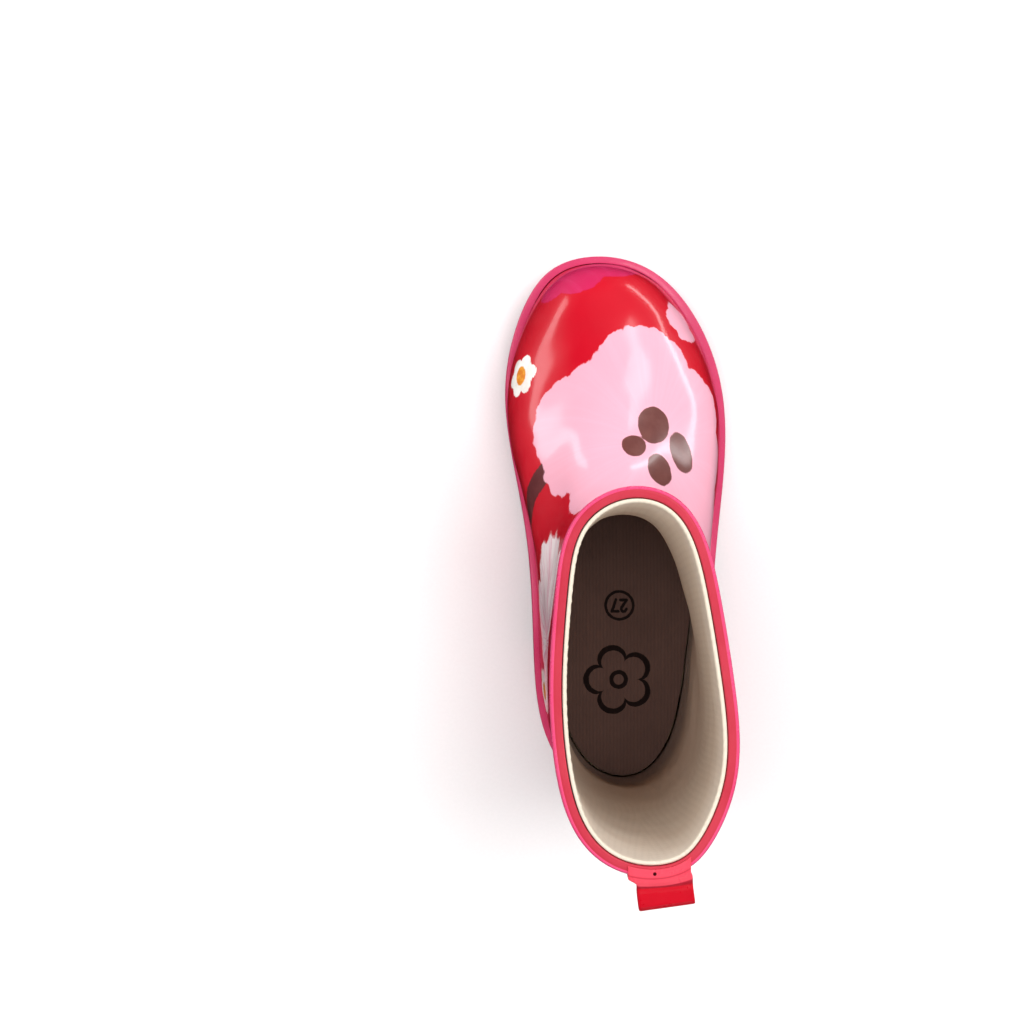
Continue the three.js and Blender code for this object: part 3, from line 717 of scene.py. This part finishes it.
def printed_rubber():
    n = Nodes("printed_rubber")
    tear = n.math("SUBTRACT", n.noise(700, 4, 0.6), 0.5)
    st = n.attr("streak", "Vector")
    fan = n.node("ShaderNodeMapping", {"Vector": st, "Scale": (9, 9, 0.9)}).outputs[0]
    fibres = n.noise(1.6, 5, 0.65, fan)
    radial = n.node("ShaderNodeSeparateXYZ", {0: st}).outputs[2]

    def cover(layer, width=0.28, rough=0.9):          # 1 where the layer's paint lies, with a torn edge
        d = n.math("MULTIPLY_ADD", tear, rough, n.attr("print_" + layer))
        return n.ramp(d, -width, width, 1.0, 0.0)

    cloud = n.noise(26, 4, 0.55)
    col = n.fade(cloud, 0.25, 0.8, RED, RED_DEEP)
    stalk = n.fade(n.noise(220, 4, 0.6), 0.35, 0.7, srgb(98, 44, 46), srgb(110, 52, 52))
    col = n.mix(cover("stalk", 0.25, 0.6), col, stalk)
    pink = n.fade(fibres, 0.42, 0.7, srgb(242, 171, 190), srgb(243, 175, 194))
    pink = n.mix(n.math("MULTIPLY", n.ramp(cloud, 0.5, 0.8), 0.4), pink, srgb(240, 164, 184))
    col = n.mix(cover("pink"), col, pink)
    wash = n.math("MULTIPLY", n.ramp(fibres, 0.44, 0.62), n.ramp(radial, 1.1, 0.1, 0.2, 1.0))
    pale = n.mix(wash, srgb(248, 232, 232), srgb(226, 106, 150))
    flecks = n.math("MULTIPLY", n.ramp(n.noise(3.2, 4, 0.7, fan), 0.56, 0.7), 0.6)
    pale = n.mix(flecks, pale, srgb(214, 70, 112))
    col = n.mix(cover("pale", 0.8, 2.4), col, pale)
    magenta = n.fade(cloud, 0.3, 0.7, srgb(206, 30, 88), srgb(199, 25, 83))
    magenta = n.mix(n.math("MULTIPLY", n.ramp(fibres, 0.45, 0.65), 0.25), magenta, srgb(224, 70, 128))
    col = n.mix(cover("magenta"), col, magenta)
    white = n.fade(n.noise(120, 4, 0.6), 0.4, 0.7, srgb(250, 246, 240), srgb(234, 222, 214))
    col = n.mix(cover("petal_white", 0.2, 0.6), col, white)
    brown = n.fade(n.noise(220, 4, 0.6), 0.35, 0.7, srgb(104, 56, 51), srgb(114, 65, 59))
    col = n.mix(cover("brown", 0.15, 0.25), col, brown)
    orange = n.fade(n.noise(500, 3, 0.6), 0.4, 0.65, srgb(224, 126, 24), srgb(240, 166, 50))
    col = n.mix(cover("orange", 0.2, 0.5), col, orange)
    scuff = n.ramp(n.noise(90, 6, 0.7), 0.3, 0.8, 0.34, 0.46)
    grain = n.math("ADD", n.noise(1400, 2, 0.5), n.math("MULTIPLY", n.noise(210, 3, 0.5), 1.6))
    normal = n.bump(grain, 0.16, 0.00012)
    return n.done(Base_Color=col, Roughness=scuff, Normal=normal, Coat_Weight=0.8, Coat_Roughness=0.14,
                  Specular_IOR_Level=0.3)


dress(upper, printed_rubber())
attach(upper, "boot")
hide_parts("upper_shell")

# ------------------------------------------------------------------ foxing band
fox_outer = rounded([(0.7, 0.0), (0.0, 0.0), (-0.15, 4.5), (0.0, FOXING_HEIGHT - 0.9),
                     (0.55, FOXING_HEIGHT - 0.25)], 0.9)
fox_rings = [plan_ring(SKIN[0], -GAP, lifted(FLANGE_BOTTOM))]
fox_rings += [plan_ring(FOOTPRINT, i, lifted(FLANGE_BOTTOM + h)) for i, h in spread(fox_outer, 18)]
lip_and_inside = [(0.05, 0.6), (0.35, 0.16), (0.3, 0.03), (-0.4, 0.04), (-1.2, GAP), (-2.5, GAP), (-5, GAP),
                  (-9, GAP)]
fox_rings += [at_height(lifted(FOXING_TOP + h), np.full(NT, -out)) for h, out in lip_and_inside]
foxing = hoop("foxing_band", fox_rings)
dress(foxing, rubber("foxing_rubber", srgb(212, 64, 108), srgb(200, 52, 97), 0.34, 0.3, 0.2))
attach(foxing, "boot")
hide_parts("foxing_strip")

# ------------------------------------------------------------------ sole: sheet, tread bars and heel
def apply_modifiers(ob):
    bpy.context.view_layer.update()
    me = bpy.data.meshes.new_from_object(ob.evaluated_get(bpy.context.evaluated_depsgraph_get()))
    ob.modifiers.clear()
    ob.data = me


def keep_within(target, cutter):
    m = target.modifiers.new("cut", "BOOLEAN")
    m.object, m.operation, m.solver = cutter, "INTERSECT", "EXACT"
    apply_modifiers(target)
    bpy.data.objects.remove(cutter)
    return target


def prisms(name, outlines, low, high):
    """Upright blocks with the given outlines."""
    pts, faces = [], []
    for o in outlines:
        k, n = len(pts), len(o)
        pts += [(x, y, low) for x, y in o] + [(x, y, high) for x, y in o]
        faces += [list(range(k + n - 1, k - 1, -1)), list(range(k + n, k + 2 * n))]
        faces += [[k + i, k + (i + 1) % n, k + n + (i + 1) % n, k + n + i] for i in range(n)]
    return mesh_object(name, pts, faces)


def join(a, b):
    bm = bmesh.new()
    bm.from_mesh(a.data)
    bm.from_mesh(b.data)
    bm.to_mesh(a.data)
    bm.free()
    bpy.data.objects.remove(b)
    return a


COARSE = np.arange(160) * TAU / 160
CAP_BARS = 9                  # inner points on each crossbar of a cap
BAR_PITCH, BAR_WIDTH, FIRST_BAR, TREAD_INSET, TREAD_MIDDLE_X = 13.5, 8, 106, 4, -4
PAD_ROOT = LUG_DEPTH + 0.6    # treads and pads reach this far into the sheet above them


def level(h):
    return lambda y: np.full_like(y, h)


def soften(ob):
    m = ob.modifiers.new("edge", "BEVEL")
    m.width, m.segments, m.limit_method, m.angle_limit = 0.0005, 2, "ANGLE", rad(40)
    w = ob.modifiers.new("normals", "WEIGHTED_NORMAL")
    w.keep_sharp = True
    apply_modifiers(ob)


def bar_outline(y, side):
    """One half of a chevron bar, from the middle groove to beyond the edge."""
    top = [(2.5, y + 7), (14, y + 5.5), (30, y + 2.5), (60, y - 3)]
    pts = top + [(x, yy + BAR_WIDTH) for x, yy in reversed(top)]
    pts = [(side * x + TREAD_MIDDLE_X, yy) for x, yy in pts]
    return pts if side > 0 else pts[::-1]


sheet_edge = [(1.4, LUG_DEPTH), (0.6, LUG_DEPTH + 0.2), (0.2, LUG_DEPTH + 0.8), (0.2, SOLE_TOP - 0.4),
              (0.5, SOLE_TOP)]
sole = plate("outsole_sheet", [plan_ring(FOOTPRINT, i, lifted(h), COARSE) for i, h in sheet_edge], CAP_BARS)
tread_rings = [plan_ring(FOOTPRINT, TREAD_INSET, lifted(h), COARSE) for h in (0, PAD_ROOT)]
tread = plate("tread", tread_rings, CAP_BARS)
rows = [FIRST_BAR + BAR_PITCH * k for k in range(6)]
tread = keep_within(tread, prisms("bars", [bar_outline(y, s) for y in rows for s in (1, -1)], -3, 16))
soften(tread)
sole = join(sole, tread)
dress(sole, rubber("outsole_rubber", srgb(188, 46, 84), srgb(160, 32, 68), 0.5, 0.5))
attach(sole, "boot")
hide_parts("outsole")

heel_top = LUG_DEPTH + HEEL_RISE - GAP
heel_edge = [(3, LUG_DEPTH), (2, LUG_DEPTH + 0.5), (1.2, LUG_DEPTH + 2), (0.8, heel_top)]
heel = plate("heel_lift", [plan_ring(FOOTPRINT, i, level(h), COARSE) for i, h in heel_edge], CAP_BARS)
breast = [(-50, -10), (50, -10), (50, 51), (25, 54), (0, 55), (-25, 54), (-50, 51)]
heel = keep_within(heel, prisms("breast", [breast], -2, 30))
pad_rings = [plan_ring(FOOTPRINT, TREAD_INSET, level(h), COARSE) for h in (0, PAD_ROOT)]
pads = plate("heel_pads", pad_rings, CAP_BARS)
blocks = [[(-50, -10), (50, -10), (50, 18), (-50, 18)], [(-50, 24), (50, 24), (50, 49), (-50, 49)]]
pads = keep_within(pads, prisms("pad_blocks", blocks, -2, 20))
soften(pads)
heel = join(heel, pads)
dress(heel, rubber("heel_rubber", srgb(182, 42, 80), srgb(152, 28, 64), 0.52, 0.5))
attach(heel, "boot")
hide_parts("heel_block")

# ------------------------------------------------------------------ lining, stiffeners and boards
# stiffened areas: angle of the middle, half spread, top ring
PUFF, COUNTER = (math.pi, rad(52.5), 3.5), (0.0, rad(52.5), 5.0)


def stiffened(area, v, theta):
    middle, half_spread, top = area
    away = np.abs(np.arctan2(np.sin(theta - middle), np.cos(theta - middle)))
    sideways = 1 - smooth(half_spread + rad(7.5), half_spread + rad(28), away)
    return sideways * (1 - smooth(top + 0.5, top + 1.9, v))


def lining_depth(v, theta):
    pad = np.maximum(stiffened(PUFF, v, theta), stiffened(COUNTER, v, theta))
    return SKIN_THICK + GAP + (PAD_THICK + GAP) * pad


def lining_inner_depth(v, theta):
    return lining_depth(v, theta) + LINING_THICK


lining_v = even_levels(1.0, TOP_LEVEL, 110)[:, None]
out = inside(lining_v, THETA[None], lining_depth(lining_v, THETA[None]))
back = inside(lining_v, THETA[None], lining_inner_depth(lining_v, THETA[None]))
fuzz = 0.16 * np.sin(THETA * 171) * np.sin(THETA * 53 + 1) + 0.12 * np.sin(THETA * 97 + 2)
rim_d = SKIN_THICK + GAP
lip = [(rim_d, 193.6), (rim_d, 194.8), (rim_d + 0.25, 195.15), (rim_d + 0.6, 195.25), (rim_d + 0.95, 195.15),
       (rim_d + LINING_THICK, 194.8), (rim_d + LINING_THICK, 193.8)]
fray = np.stack([0 * fuzz, 0 * fuzz, fuzz], -1)
lip_rings = [rim_points(THETA, rim_d + (d - rim_d) * (1 + fuzz * 0.35), z) + fray * (z > RIM_TOP)
             for d, z in lip]
lining_rings = np.concatenate([at_height(lifted(BED_BOTTOM), lining_depth)[None], out, lip_rings, back[::-1],
                               at_height(lifted(BED_BOTTOM), lining_inner_depth)[None]])
# the brushed textile is never quite flat against the rubber
soft = wobble(lining_rings, 30, 3) * 0.12 * (lining_rings[..., 2] < 190)
soft[:len(out) + 1] = 0
flat_n = unit(lining_rings - np.array([0, 52, 0]) - np.array([0, 0, 1]) * lining_rings[..., 2:3])
lining_rings = lining_rings + flat_n * soft[..., None]
lining = hoop("lining_sock_textile", lining_rings)
lip_mask = np.zeros(lining_rings.shape[:2])
lip_mask[len(out) + 1:len(out) + 8] = 1
attribute(lining, "cut_edge", lip_mask.ravel())


KNIT_PITCH = 0.0011           # metres
CREAM, CREAM_SHADE, CUT_CREAM = srgb(243, 230, 215), srgb(235, 218, 202), srgb(240, 227, 208)


def lining_textile():
    """Brushed knit, paler along the cut edge and darker towards the foot, where the darkening is painted shade.
    """
    n = Nodes("lining_textile")
    uv = n.uv()
    knit = n.wave(uv, 0.5 / KNIT_PITCH * 0.32, 1.2, 1.5, 4.0, "X")
    cross = n.wave(uv, 0.5 / KNIT_PITCH * 0.22, 2.0, 2.0, 3.0, "Y")
    fibre = n.noise(2600, 4, 0.7)
    cloud = n.noise(60, 5, 0.6)
    weave = n.math("ADD", n.math("MULTIPLY", knit, 0.6), n.math("MULTIPLY", cross, 0.4))
    col = n.fade(cloud, 0.3, 0.8, CREAM, CREAM_SHADE)
    col = n.mix(n.math("MULTIPLY", n.ramp(weave, 0.5, 0.1), 0.14), col, tuple(c * 0.7 for c in CREAM_SHADE))
    col = n.mix(n.math("MULTIPLY", n.ramp(fibre, 0.55, 0.8), 0.35), col, CUT_CREAM)
    height = n.node("ShaderNodeSeparateXYZ", {0: n.coords()}).outputs[2]
    # painted shade: lower inside the boot the knit is multiplied towards warm brown, standing in for the shade
    # and the light bounced off the footbed
    col = n.fade(height, 0.15, 0.03, col, srgb(222, 190, 168), "MULTIPLY")
    col = n.fade(height, 0.06, 0.024, col, srgb(154, 111, 95), "MULTIPLY")
    col = n.fade(n.attr("cut_edge"), 0.1, 0.7, col, CUT_CREAM)
    relief = n.math("ADD", n.math("MULTIPLY", weave, 0.22), fibre)
    return n.done(Base_Color=col, Roughness=0.93, Normal=n.bump(relief, 0.5, 0.0004), Sheen_Weight=0.35,
                  Sheen_Roughness=0.5, Sheen_Tint=CREAM, Specular_IOR_Level=0.2)


dress(lining, lining_textile())
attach(lining, "boot")
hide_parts("lining_sock")


def stiffener(name, area):
    middle, half_spread, top = area
    v = np.linspace(0.45, top, 40)
    th = np.linspace(middle - half_spread, middle + half_spread, 90)
    grid = lambda d: inside(v[None, :], th[:, None], np.full((90, 40), d))
    return patch(name, grid(SKIN_THICK + GAP), grid(SKIN_THICK + GAP + PAD_THICK))


def fibre_sheet(name, colour, shade):
    n = Nodes(name)
    ins = {"Vector": n.coords(), "Scale": 420.0, "Randomness": 1.0}
    flakes = n.node("ShaderNodeTexVoronoi", ins).outputs["Distance"]
    col = n.fade(n.noise(90, 5, 0.7), 0.3, 0.75, colour, shade)
    col = n.mix(n.math("MULTIPLY", n.ramp(flakes, 0.3, 0.7), 0.3), col, tuple(c * 0.7 for c in shade))
    relief = n.math("ADD", flakes, n.noise(900, 3))
    return n.done(Base_Color=col, Roughness=0.9, Normal=n.bump(relief, 0.35, 0.0003))


stiff = fibre_sheet("stiffener_sheet", srgb(156, 143, 125), srgb(132, 118, 100))
for name, area, node in (("toe_puff_sheet", PUFF, "toe_puff"),
                         ("heel_counter_sheet", COUNTER, "heel_counter")):
    ob = dress(stiffener(name, area), stiff)
    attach(ob, "boot")
    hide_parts(node)


def foot_sheet(name, inset, low, thick, bars=CAP_BARS, r=0.4, theta=COARSE, crown=0.0):
    """Sheet with the foot's outline and edges rounded off by r."""
    high = low + thick
    edge = [(inset + r, low), (inset, low + r), (inset, high - r), (inset + r * 0.3, high - r * 0.3),
            (inset + r, high), (inset + r + 3, high + crown)]
    return plate(name, [plan_ring(SKIN[0], i, lifted(h), theta) for i, h in edge], bars)


board = foot_sheet("insole_board_sheet", SKIN_THICK + 1.3, BOARD_BOTTOM, BOARD_THICK)
dress(board, fibre_sheet("fibre_board", srgb(186, 162, 128), srgb(160, 134, 102)))
filler = foot_sheet("midsole_felt", FLANGE_WIDTH + GAP, FLANGE_BOTTOM, FLANGE_THICK)
dress(filler, fibre_sheet("filler_felt", srgb(140, 125, 110), srgb(112, 98, 86)))
for ob, node, slot in ((board, "insole_board", "fibre_board"), (filler, "midsole_filler", "filler_felt")):
    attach(ob, "boot")
    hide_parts(node)

# ------------------------------------------------------------------ loose footbed
foam = foot_sheet("footbed_foam_sheet", 5.0, BED_BOTTOM, FOAM_THICK, r=0.6)
dress(foam, fibre_sheet("footbed_foam", srgb(108, 84, 74), srgb(88, 66, 58)))
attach(foam, "footbed")
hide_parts("footbed_foam")
BED_CLEARANCE = 0.25          # room to lift the footbed past the lining
bed_theta = np.arange(300) * TAU / 300
bed_inset = lining_inner_depth(1.0, bed_theta) + BED_CLEARANCE
cover = foot_sheet("footbed_cover_textile", bed_inset, COVER_BOTTOM, COVER_THICK, 40, 0.2, bed_theta, 0.1)
MARK = (-0.0003, 0.0678)      # middle of the size ring
BLOOM = (-0.0006, 0.0415)     # middle of the plain flower outline
SIZE_RING, BLOOM_NOTCH, BLOOM_PETAL, BLOOM_HEART = 4.9, 7.4, 4.2, 2.6


def footbed_textile():
    n = Nodes("footbed_textile")
    uv = n.uv()
    ribs = n.wave(uv, 260.0, 1.0, 2.0, 3.0)
    fibre = n.noise(1900, 4, 0.7)
    cloud = n.noise(42, 5, 0.6)
    col = n.fade(cloud, 0.3, 0.75, srgb(123, 95, 86), srgb(113, 87, 79))
    col = n.mix(n.math("MULTIPLY", n.ramp(ribs, 0.5, 0.15), 0.16), col, srgb(86, 63, 56))
    col = n.mix(n.math("MULTIPLY", n.ramp(fibre, 0.56, 0.8), 0.3), col, srgb(134, 108, 97))

    def local(centre):
        """Millimetres from a centre, upright when read from the toe end."""
        return n.vector("SCALE", n.vector("ADD", uv, (*[-c for c in centre], 0)), scale=-1000.0)

    def stroke(p, a, b):
        """Distance to the line from a to b."""
        ab = (b[0] - a[0], b[1] - a[1], 0)
        pa = n.vector("SUBTRACT", p, (*a, 0))
        t = n.math("MULTIPLY", n.vector("DOT_PRODUCT", pa, ab), 1 / (ab[0] ** 2 + ab[1] ** 2), clamp=True)
        return n.vector("LENGTH", n.vector("SUBTRACT", pa, n.vector("SCALE", ab, scale=t)))

    p = local(MARK)
    d = n.math("ABSOLUTE", n.math("SUBTRACT", n.vector("LENGTH", p), SIZE_RING))
    two = [(-2.5, 1.3), (-2.0, 2.1), (-1.2, 2.2), (-0.6, 1.5), (-0.8, 0.7), (-2.6, -1.9), (-0.4, -1.9)]
    seven = [(0.4, 2.1), (2.7, 2.1), (1.2, -2.0)]
    for line in (two, seven):
        for a, b in zip(line, line[1:]):
            d = n.math("MINIMUM", d, stroke(p, a, b))
    q = local(BLOOM)
    qs = n.node("ShaderNodeSeparateXYZ", {0: q})
    phi = n.math("ARCTAN2", qs.outputs[1], qs.outputs[0])
    lobes = n.math("ABSOLUTE", n.math("COSINE", n.math("MULTIPLY", phi, 2.5)))
    edge = n.math("MULTIPLY_ADD", n.math("POWER", lobes, 0.6), BLOOM_PETAL, BLOOM_NOTCH)
    r = n.vector("LENGTH", q)
    bloom = n.math("MULTIPLY", n.math("ABSOLUTE", n.math("SUBTRACT", r, edge)), 0.75)
    heart = n.math("ABSOLUTE", n.math("SUBTRACT", r, BLOOM_HEART))
    flower = n.math("SUBTRACT", n.math("MINIMUM", bloom, heart), 0.3)
    marks = n.math("MINIMUM", n.math("SUBTRACT", d, 0.05), flower)
    worn = n.math("MULTIPLY_ADD", n.math("SUBTRACT", n.noise(900, 4, 0.7), 0.5), 0.5, marks)
    ink = n.math("MULTIPLY", n.ramp(worn, 0.36, 0.52, 1.0, 0.0), 0.95)
    col = n.mix(ink, col, srgb(26, 18, 18))
    height = n.math("ADD", n.math("MULTIPLY", ribs, 0.5), fibre)
    return n.done(Base_Color=col, Roughness=0.95, Normal=n.bump(height, 0.45, 0.0003), Sheen_Weight=0.2,
                  Sheen_Roughness=0.5, Specular_IOR_Level=0.2)


dress(cover, footbed_textile())
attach(cover, "footbed")
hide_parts("footbed_cover")

# ------------------------------------------------------------------ top binding
OUTSIDE = -(GAP + BINDING_THICK)
BINDING_FOOT = RIM_TOP - BINDING_DROP
section = rounded([(-GAP, BINDING_FOOT), (OUTSIDE + 0.1, BINDING_FOOT), (OUTSIDE - 0.05, RIM_TOP - 4.5),
                   (OUTSIDE + 0.05, RIM_TOP - 1.2), (-0.9, RIM_TOP - 0.05), (-0.35, RIM_TOP - 0.25),
                   (0.2, RIM_TOP - 0.02), (1.7, RIM_TOP), (SKIN_THICK, RIM_TOP - 0.4),
                   (SKIN_THICK, SHAFT_TOP + GAP), (-GAP, SHAFT_TOP + GAP)], 0.7, 4)
section = np.concatenate([section, [(-GAP, SHAFT_TOP - 3)]])
binding_rings = np.array([rim_points(THETA, np.full(NT, d), z) for d, z in section])
binding = hoop("rim_binding", binding_rings)
cut_face = np.array([1.0 if (z > RIM_TOP - 1.5 and d > -0.45) else 0.0 for d, z in section])
attribute(binding, "cut_face", np.repeat(cut_face, NT))


def binding_rubber():
    n = Nodes("binding_rubber")
    cloud = n.noise(60, 4, 0.6)
    outer = n.fade(cloud, 0.3, 0.8, srgb(244, 84, 132), srgb(236, 72, 120))
    top = n.fade(cloud, 0.3, 0.8, srgb(206, 60, 78), srgb(196, 48, 68))
    cut = n.ramp(n.attr("cut_face"), 0.35, 0.65)
    fine = n.noise(1500, 3, 0.6)
    rough = n.math("MULTIPLY_ADD", cut, 0.22, n.ramp(n.noise(150, 5, 0.6), 0.3, 0.8, 0.24, 0.36))
    return n.done(Base_Color=n.mix(cut, outer, top), Roughness=rough, Normal=n.bump(fine, 0.25, 0.0002),
                  Coat_Weight=0.2, Coat_Roughness=0.2)


dress(binding, binding_rubber())
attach(binding, "boot")
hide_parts("top_binding")

# ------------------------------------------------------------------ pull strap
# One band: bonded over the rim, folded into the free loop, then bonded down the back.
LOW, UP = RIM_TOP - STRAP_TAIL, RIM_TOP + GAP
half = STRAP_THICK / 2
HINGE_Z = RIM_TOP - 1.1
hinge_d = OUTSIDE - GAP - STRAP_THICK - GAP - LOOP_ROOT
hinge_y = LOOP_BOX[0].y * 1000 + LOOP_REACH - PLACE[1]
reach = lambda r: hinge_d - r
L, B = LOOP_REACH, LOOP_BELLY
path = [(1.2, UP + half), (OUTSIDE + 0.3, UP + half), (hinge_d + 1.2, UP + 0.05), (hinge_d + 0.1, HINGE_Z + 0.5),
        (reach(1.3), HINGE_Z + 0.85), (reach(L - 1.2), HINGE_Z + 0.75), (reach(L - half), HINGE_Z - 0.1),
        (reach(L - half), HINGE_Z - 2.6), (reach(L - half - 0.1), HINGE_Z - 4.7), (reach(L - 1.3), HINGE_Z - 6.1),
        (reach(L - 2.7), HINGE_Z - B + half), (reach(2.5), HINGE_Z - B + half + 0.1), (reach(0.8), HINGE_Z - 4.5),
        (reach(0.65), HINGE_Z - 2.2), (reach(-0.4), HINGE_Z - 1.2), (OUTSIDE - GAP - half, HINGE_Z - 2.6),
        (OUTSIDE - GAP - half, 185.4), (-GAP - half, 182.0), (-GAP - half, LOW)]
STRAP_STEPS, LOOP_LEAN = 170, 0.12
curve = spread(rounded(path, 1.3, 5), STRAP_STEPS)
s_along = np.linspace(0, 1, STRAP_STEPS)
tangent = unit(np.gradient(curve, axis=0))
left = np.stack([tangent[:, 1], -tangent[:, 0]], -1)       # outward side of the band
across = np.concatenate([[0.0, 0.012, 0.03], np.linspace(0.06, 0.94, 23), [0.97, 0.988, 1.0]])
thick = np.clip(np.minimum(across, 1 - across) / 0.03, 0, 1) ** 0.5


def band(side):
    """Outer (+1) or inner (-1) face of the band: it follows the rim, and is flat past the crease."""
    offset = left[None] * (half * side * (0.35 + 0.65 * thick))[:, None, None]
    d, z = np.moveaxis(curve[None] + offset, -1, 0)
    out = hinge_d - d
    part = smooth(-1.3, -0.2, out)
    u = across[:, None] - 0.5
    x = (STRAP_X + STRAP_WIDTH * u) * (1 - part) + (LOOP_X + LOOP_WIDTH * u) * part
    x = x + np.maximum(out, 0) * LOOP_LEAN
    held = back_points(x, np.maximum(d, hinge_d + 0.6), z)
    held[..., 1] += np.minimum(d - (hinge_d + 0.6), 0)
    turn = rad(4.6) + rad(3.4) * smooth(0, 6, out)
    flat = np.stack([x, hinge_y - out + (x - LOOP_X) * np.tan(turn), z], -1)
    loose = smooth(-0.9, 0.9, out)[..., None]
    return held * (1 - loose) + flat * loose


strap = patch("pull_strap", band(1.0), band(-1.0))
along = np.concatenate([s_along, s_along[::-1]])
attribute(strap, "along", np.tile(along, len(across)))


def mark_at(d, z):
    """How far along the strap (0 to 1) it passes a depth and height."""
    return int(np.argmin(np.hypot(curve[:, 0] - d, curve[:, 1] - z))) / (STRAP_STEPS - 1)


i_edge = mark_at(OUTSIDE + 0.1, UP + half)
i_crease = mark_at(hinge_d + 0.1, HINGE_Z + 0.5)
i_fold = mark_at(reach(L - 1.1), HINGE_Z + 0.75)
hole = to_frame([3.2, -4.7, UP + STRAP_THICK])             # pinhole in the strap on top of the rim


def strap_rubber():
    n = Nodes("strap_rubber")
    s = n.attr("along")
    cloud = n.noise(70, 4, 0.6)
    # painted reflection: the band over the rim is painted coral for the light its level face reflects; past the
    # crease the same band keeps its own red
    reflection_coral = n.fade(cloud, 0.3, 0.8, srgb(248, 78, 98), srgb(238, 64, 86))
    red = n.fade(cloud, 0.3, 0.8, srgb(206, 4, 32), srgb(192, 3, 28))
    col = n.mix(n.ramp(s, i_crease - 0.006, i_crease + 0.006), reflection_coral, red)
    # painted shade: dark lines at the crease, over the rim's outer edge and at the loop's fold stand in for the
    # shade in these bends
    for place, width, depth in ((i_crease, 0.012, 0.85), (i_edge, 0.007, 0.45), (i_fold, 0.006, 0.3)):
        line = n.math("ABSOLUTE", n.math("SUBTRACT", s, place))
        col = n.mix(n.math("MULTIPLY", n.ramp(line, width, width * 0.3), depth), col, srgb(150, 14, 34))
    # painted shade: a dark spot stands for the shadow inside the pinhole in the strap
    col = n.mix(n.ramp(n.vector("DISTANCE", n.coords(), tuple(hole)), 0.0007, 0.0004), col, srgb(60, 8, 12))
    fine = n.noise(1300, 3, 0.6)
    lengthwise = n.node("ShaderNodeCombineXYZ", {0: n.math("MULTIPLY", s, 14.0)}).outputs[0]
    ribs = n.math("MULTIPLY", n.noise(9, 2, 0.5, lengthwise), 0.8)
    rough = n.ramp(n.noise(200, 5, 0.65), 0.3, 0.8, 0.26, 0.42)
    return n.done(Base_Color=col, Roughness=rough, Normal=n.bump(n.math("ADD", fine, ribs), 0.35, 0.0002),
                  Coat_Weight=0.25, Coat_Roughness=0.2)


dress(strap, strap_rubber())
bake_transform(strap)
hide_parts("pull_strap_anchor", "pull_loop")

# ------------------------------------------------------------------ back seam strip
COLUMNS, ROWS = 27, 120
xs = np.linspace(-1, 1, COLUMNS)
strip_th = np.arcsin(xs * (SEAM_STRIP_WIDTH / 2) / HEEL_ROUND)
strip_v = even_levels(1.9, level_at(LOW - 3), ROWS)
grid = lambda d: inside(strip_v[None, :], strip_th[:, None], np.broadcast_to(d, (COLUMNS, ROWS)))
ends = np.minimum(1, np.minimum(np.arange(ROWS), np.arange(ROWS)[::-1]) / 2)
swell = np.clip((1 - np.abs(xs)) / 0.12, 0, 1)[:, None] ** 0.5 * ends[None, :] ** 0.5
strip = patch("back_seam_rubber", grid(-GAP - 0.35 - 0.65 * swell), grid(-GAP))
dress(strip, rubber("seam_rubber", srgb(204, 10, 36), srgb(194, 6, 32), 0.3, 0.05, 0.3))
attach(strip, "boot")
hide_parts("back_seam_strip")

# ------------------------------------------------------------------ floor, light and camera
floor_mesh = bpy.data.meshes.new("floor")
floor_mesh.from_pydata([(-6, -6, 0), (6, -6, 0), (6, 6, 0), (-6, 6, 0)], [], [(0, 1, 2, 3)])
floor = put_in_scene("floor", floor_mesh)
f = Nodes("pale_floor")
speckle = f.ramp(f.noise(900, 3, 0.6), 0.3, 0.7, 0.97, 0.99)
grey = f.node("ShaderNodeCombineColor", {0: speckle, 1: speckle, 2: speckle}).outputs[0]
dress(floor, f.done(Base_Color=grey, Roughness=0.9))
floor.visible_glossy = False

world = bpy.context.scene.world or bpy.data.worlds.new("studio")
bpy.context.scene.world = world
world.use_nodes = True
background = world.node_tree.nodes["Background"]
background.inputs["Color"].default_value = (1, 1, 1, 1)
background.inputs["Strength"].default_value = 0.26
world.cycles_visibility.glossy = False


def softbox(name, place, aim, size, watts, gloss=True):
    light = bpy.data.lights.new(name, "AREA")
    light.shape, light.size, light.size_y = "RECTANGLE", *size
    light.energy = watts
    ob = put_in_scene(name, light)
    ob.location = place
    ob.rotation_euler = (Vector(aim) - Vector(place)).to_track_quat("-Z", "Y").to_euler()
    ob.visible_glossy = gloss


softbox("overhead", (0, 0, 2.2), (0, 0, 0), (1.5, 0.5), 29.5, False)
for i, (x, y) in enumerate(((-1.5, 0.4), (1.5, 0.4), (0.3, -1.5), (0, 1.6))):
    softbox("fill_%d" % i, (x, y, 0.9), (0, 0, 0.08), (0.9, 0.9), 5, False)
softbox("glow", (0.78, 0.98, 1.15), (0.01, 0.06, 0.058), (1.0, 0.44), 6.5)
softbox("left_edge", (-1.1, 0.73, 0.21), (0, 0.05, 0.05), (1.2, 0.28), 4.6)
softbox("right_edge", (0.92, 0.92, 0.14), (0, 0.05, 0.05), (1.4, 0.11), 4.4)

cam = bpy.data.cameras.new("camera")
cam.lens, cam.sensor_width, cam.clip_start = 95.6, 36, 0.05
eye = put_in_scene("camera", cam)
eye.location = to_frame(EYE)
eye.rotation_euler = (0, 0, 0)
bpy.context.scene.camera = eye
bpy.context.scene.view_settings.view_transform = "Standard"
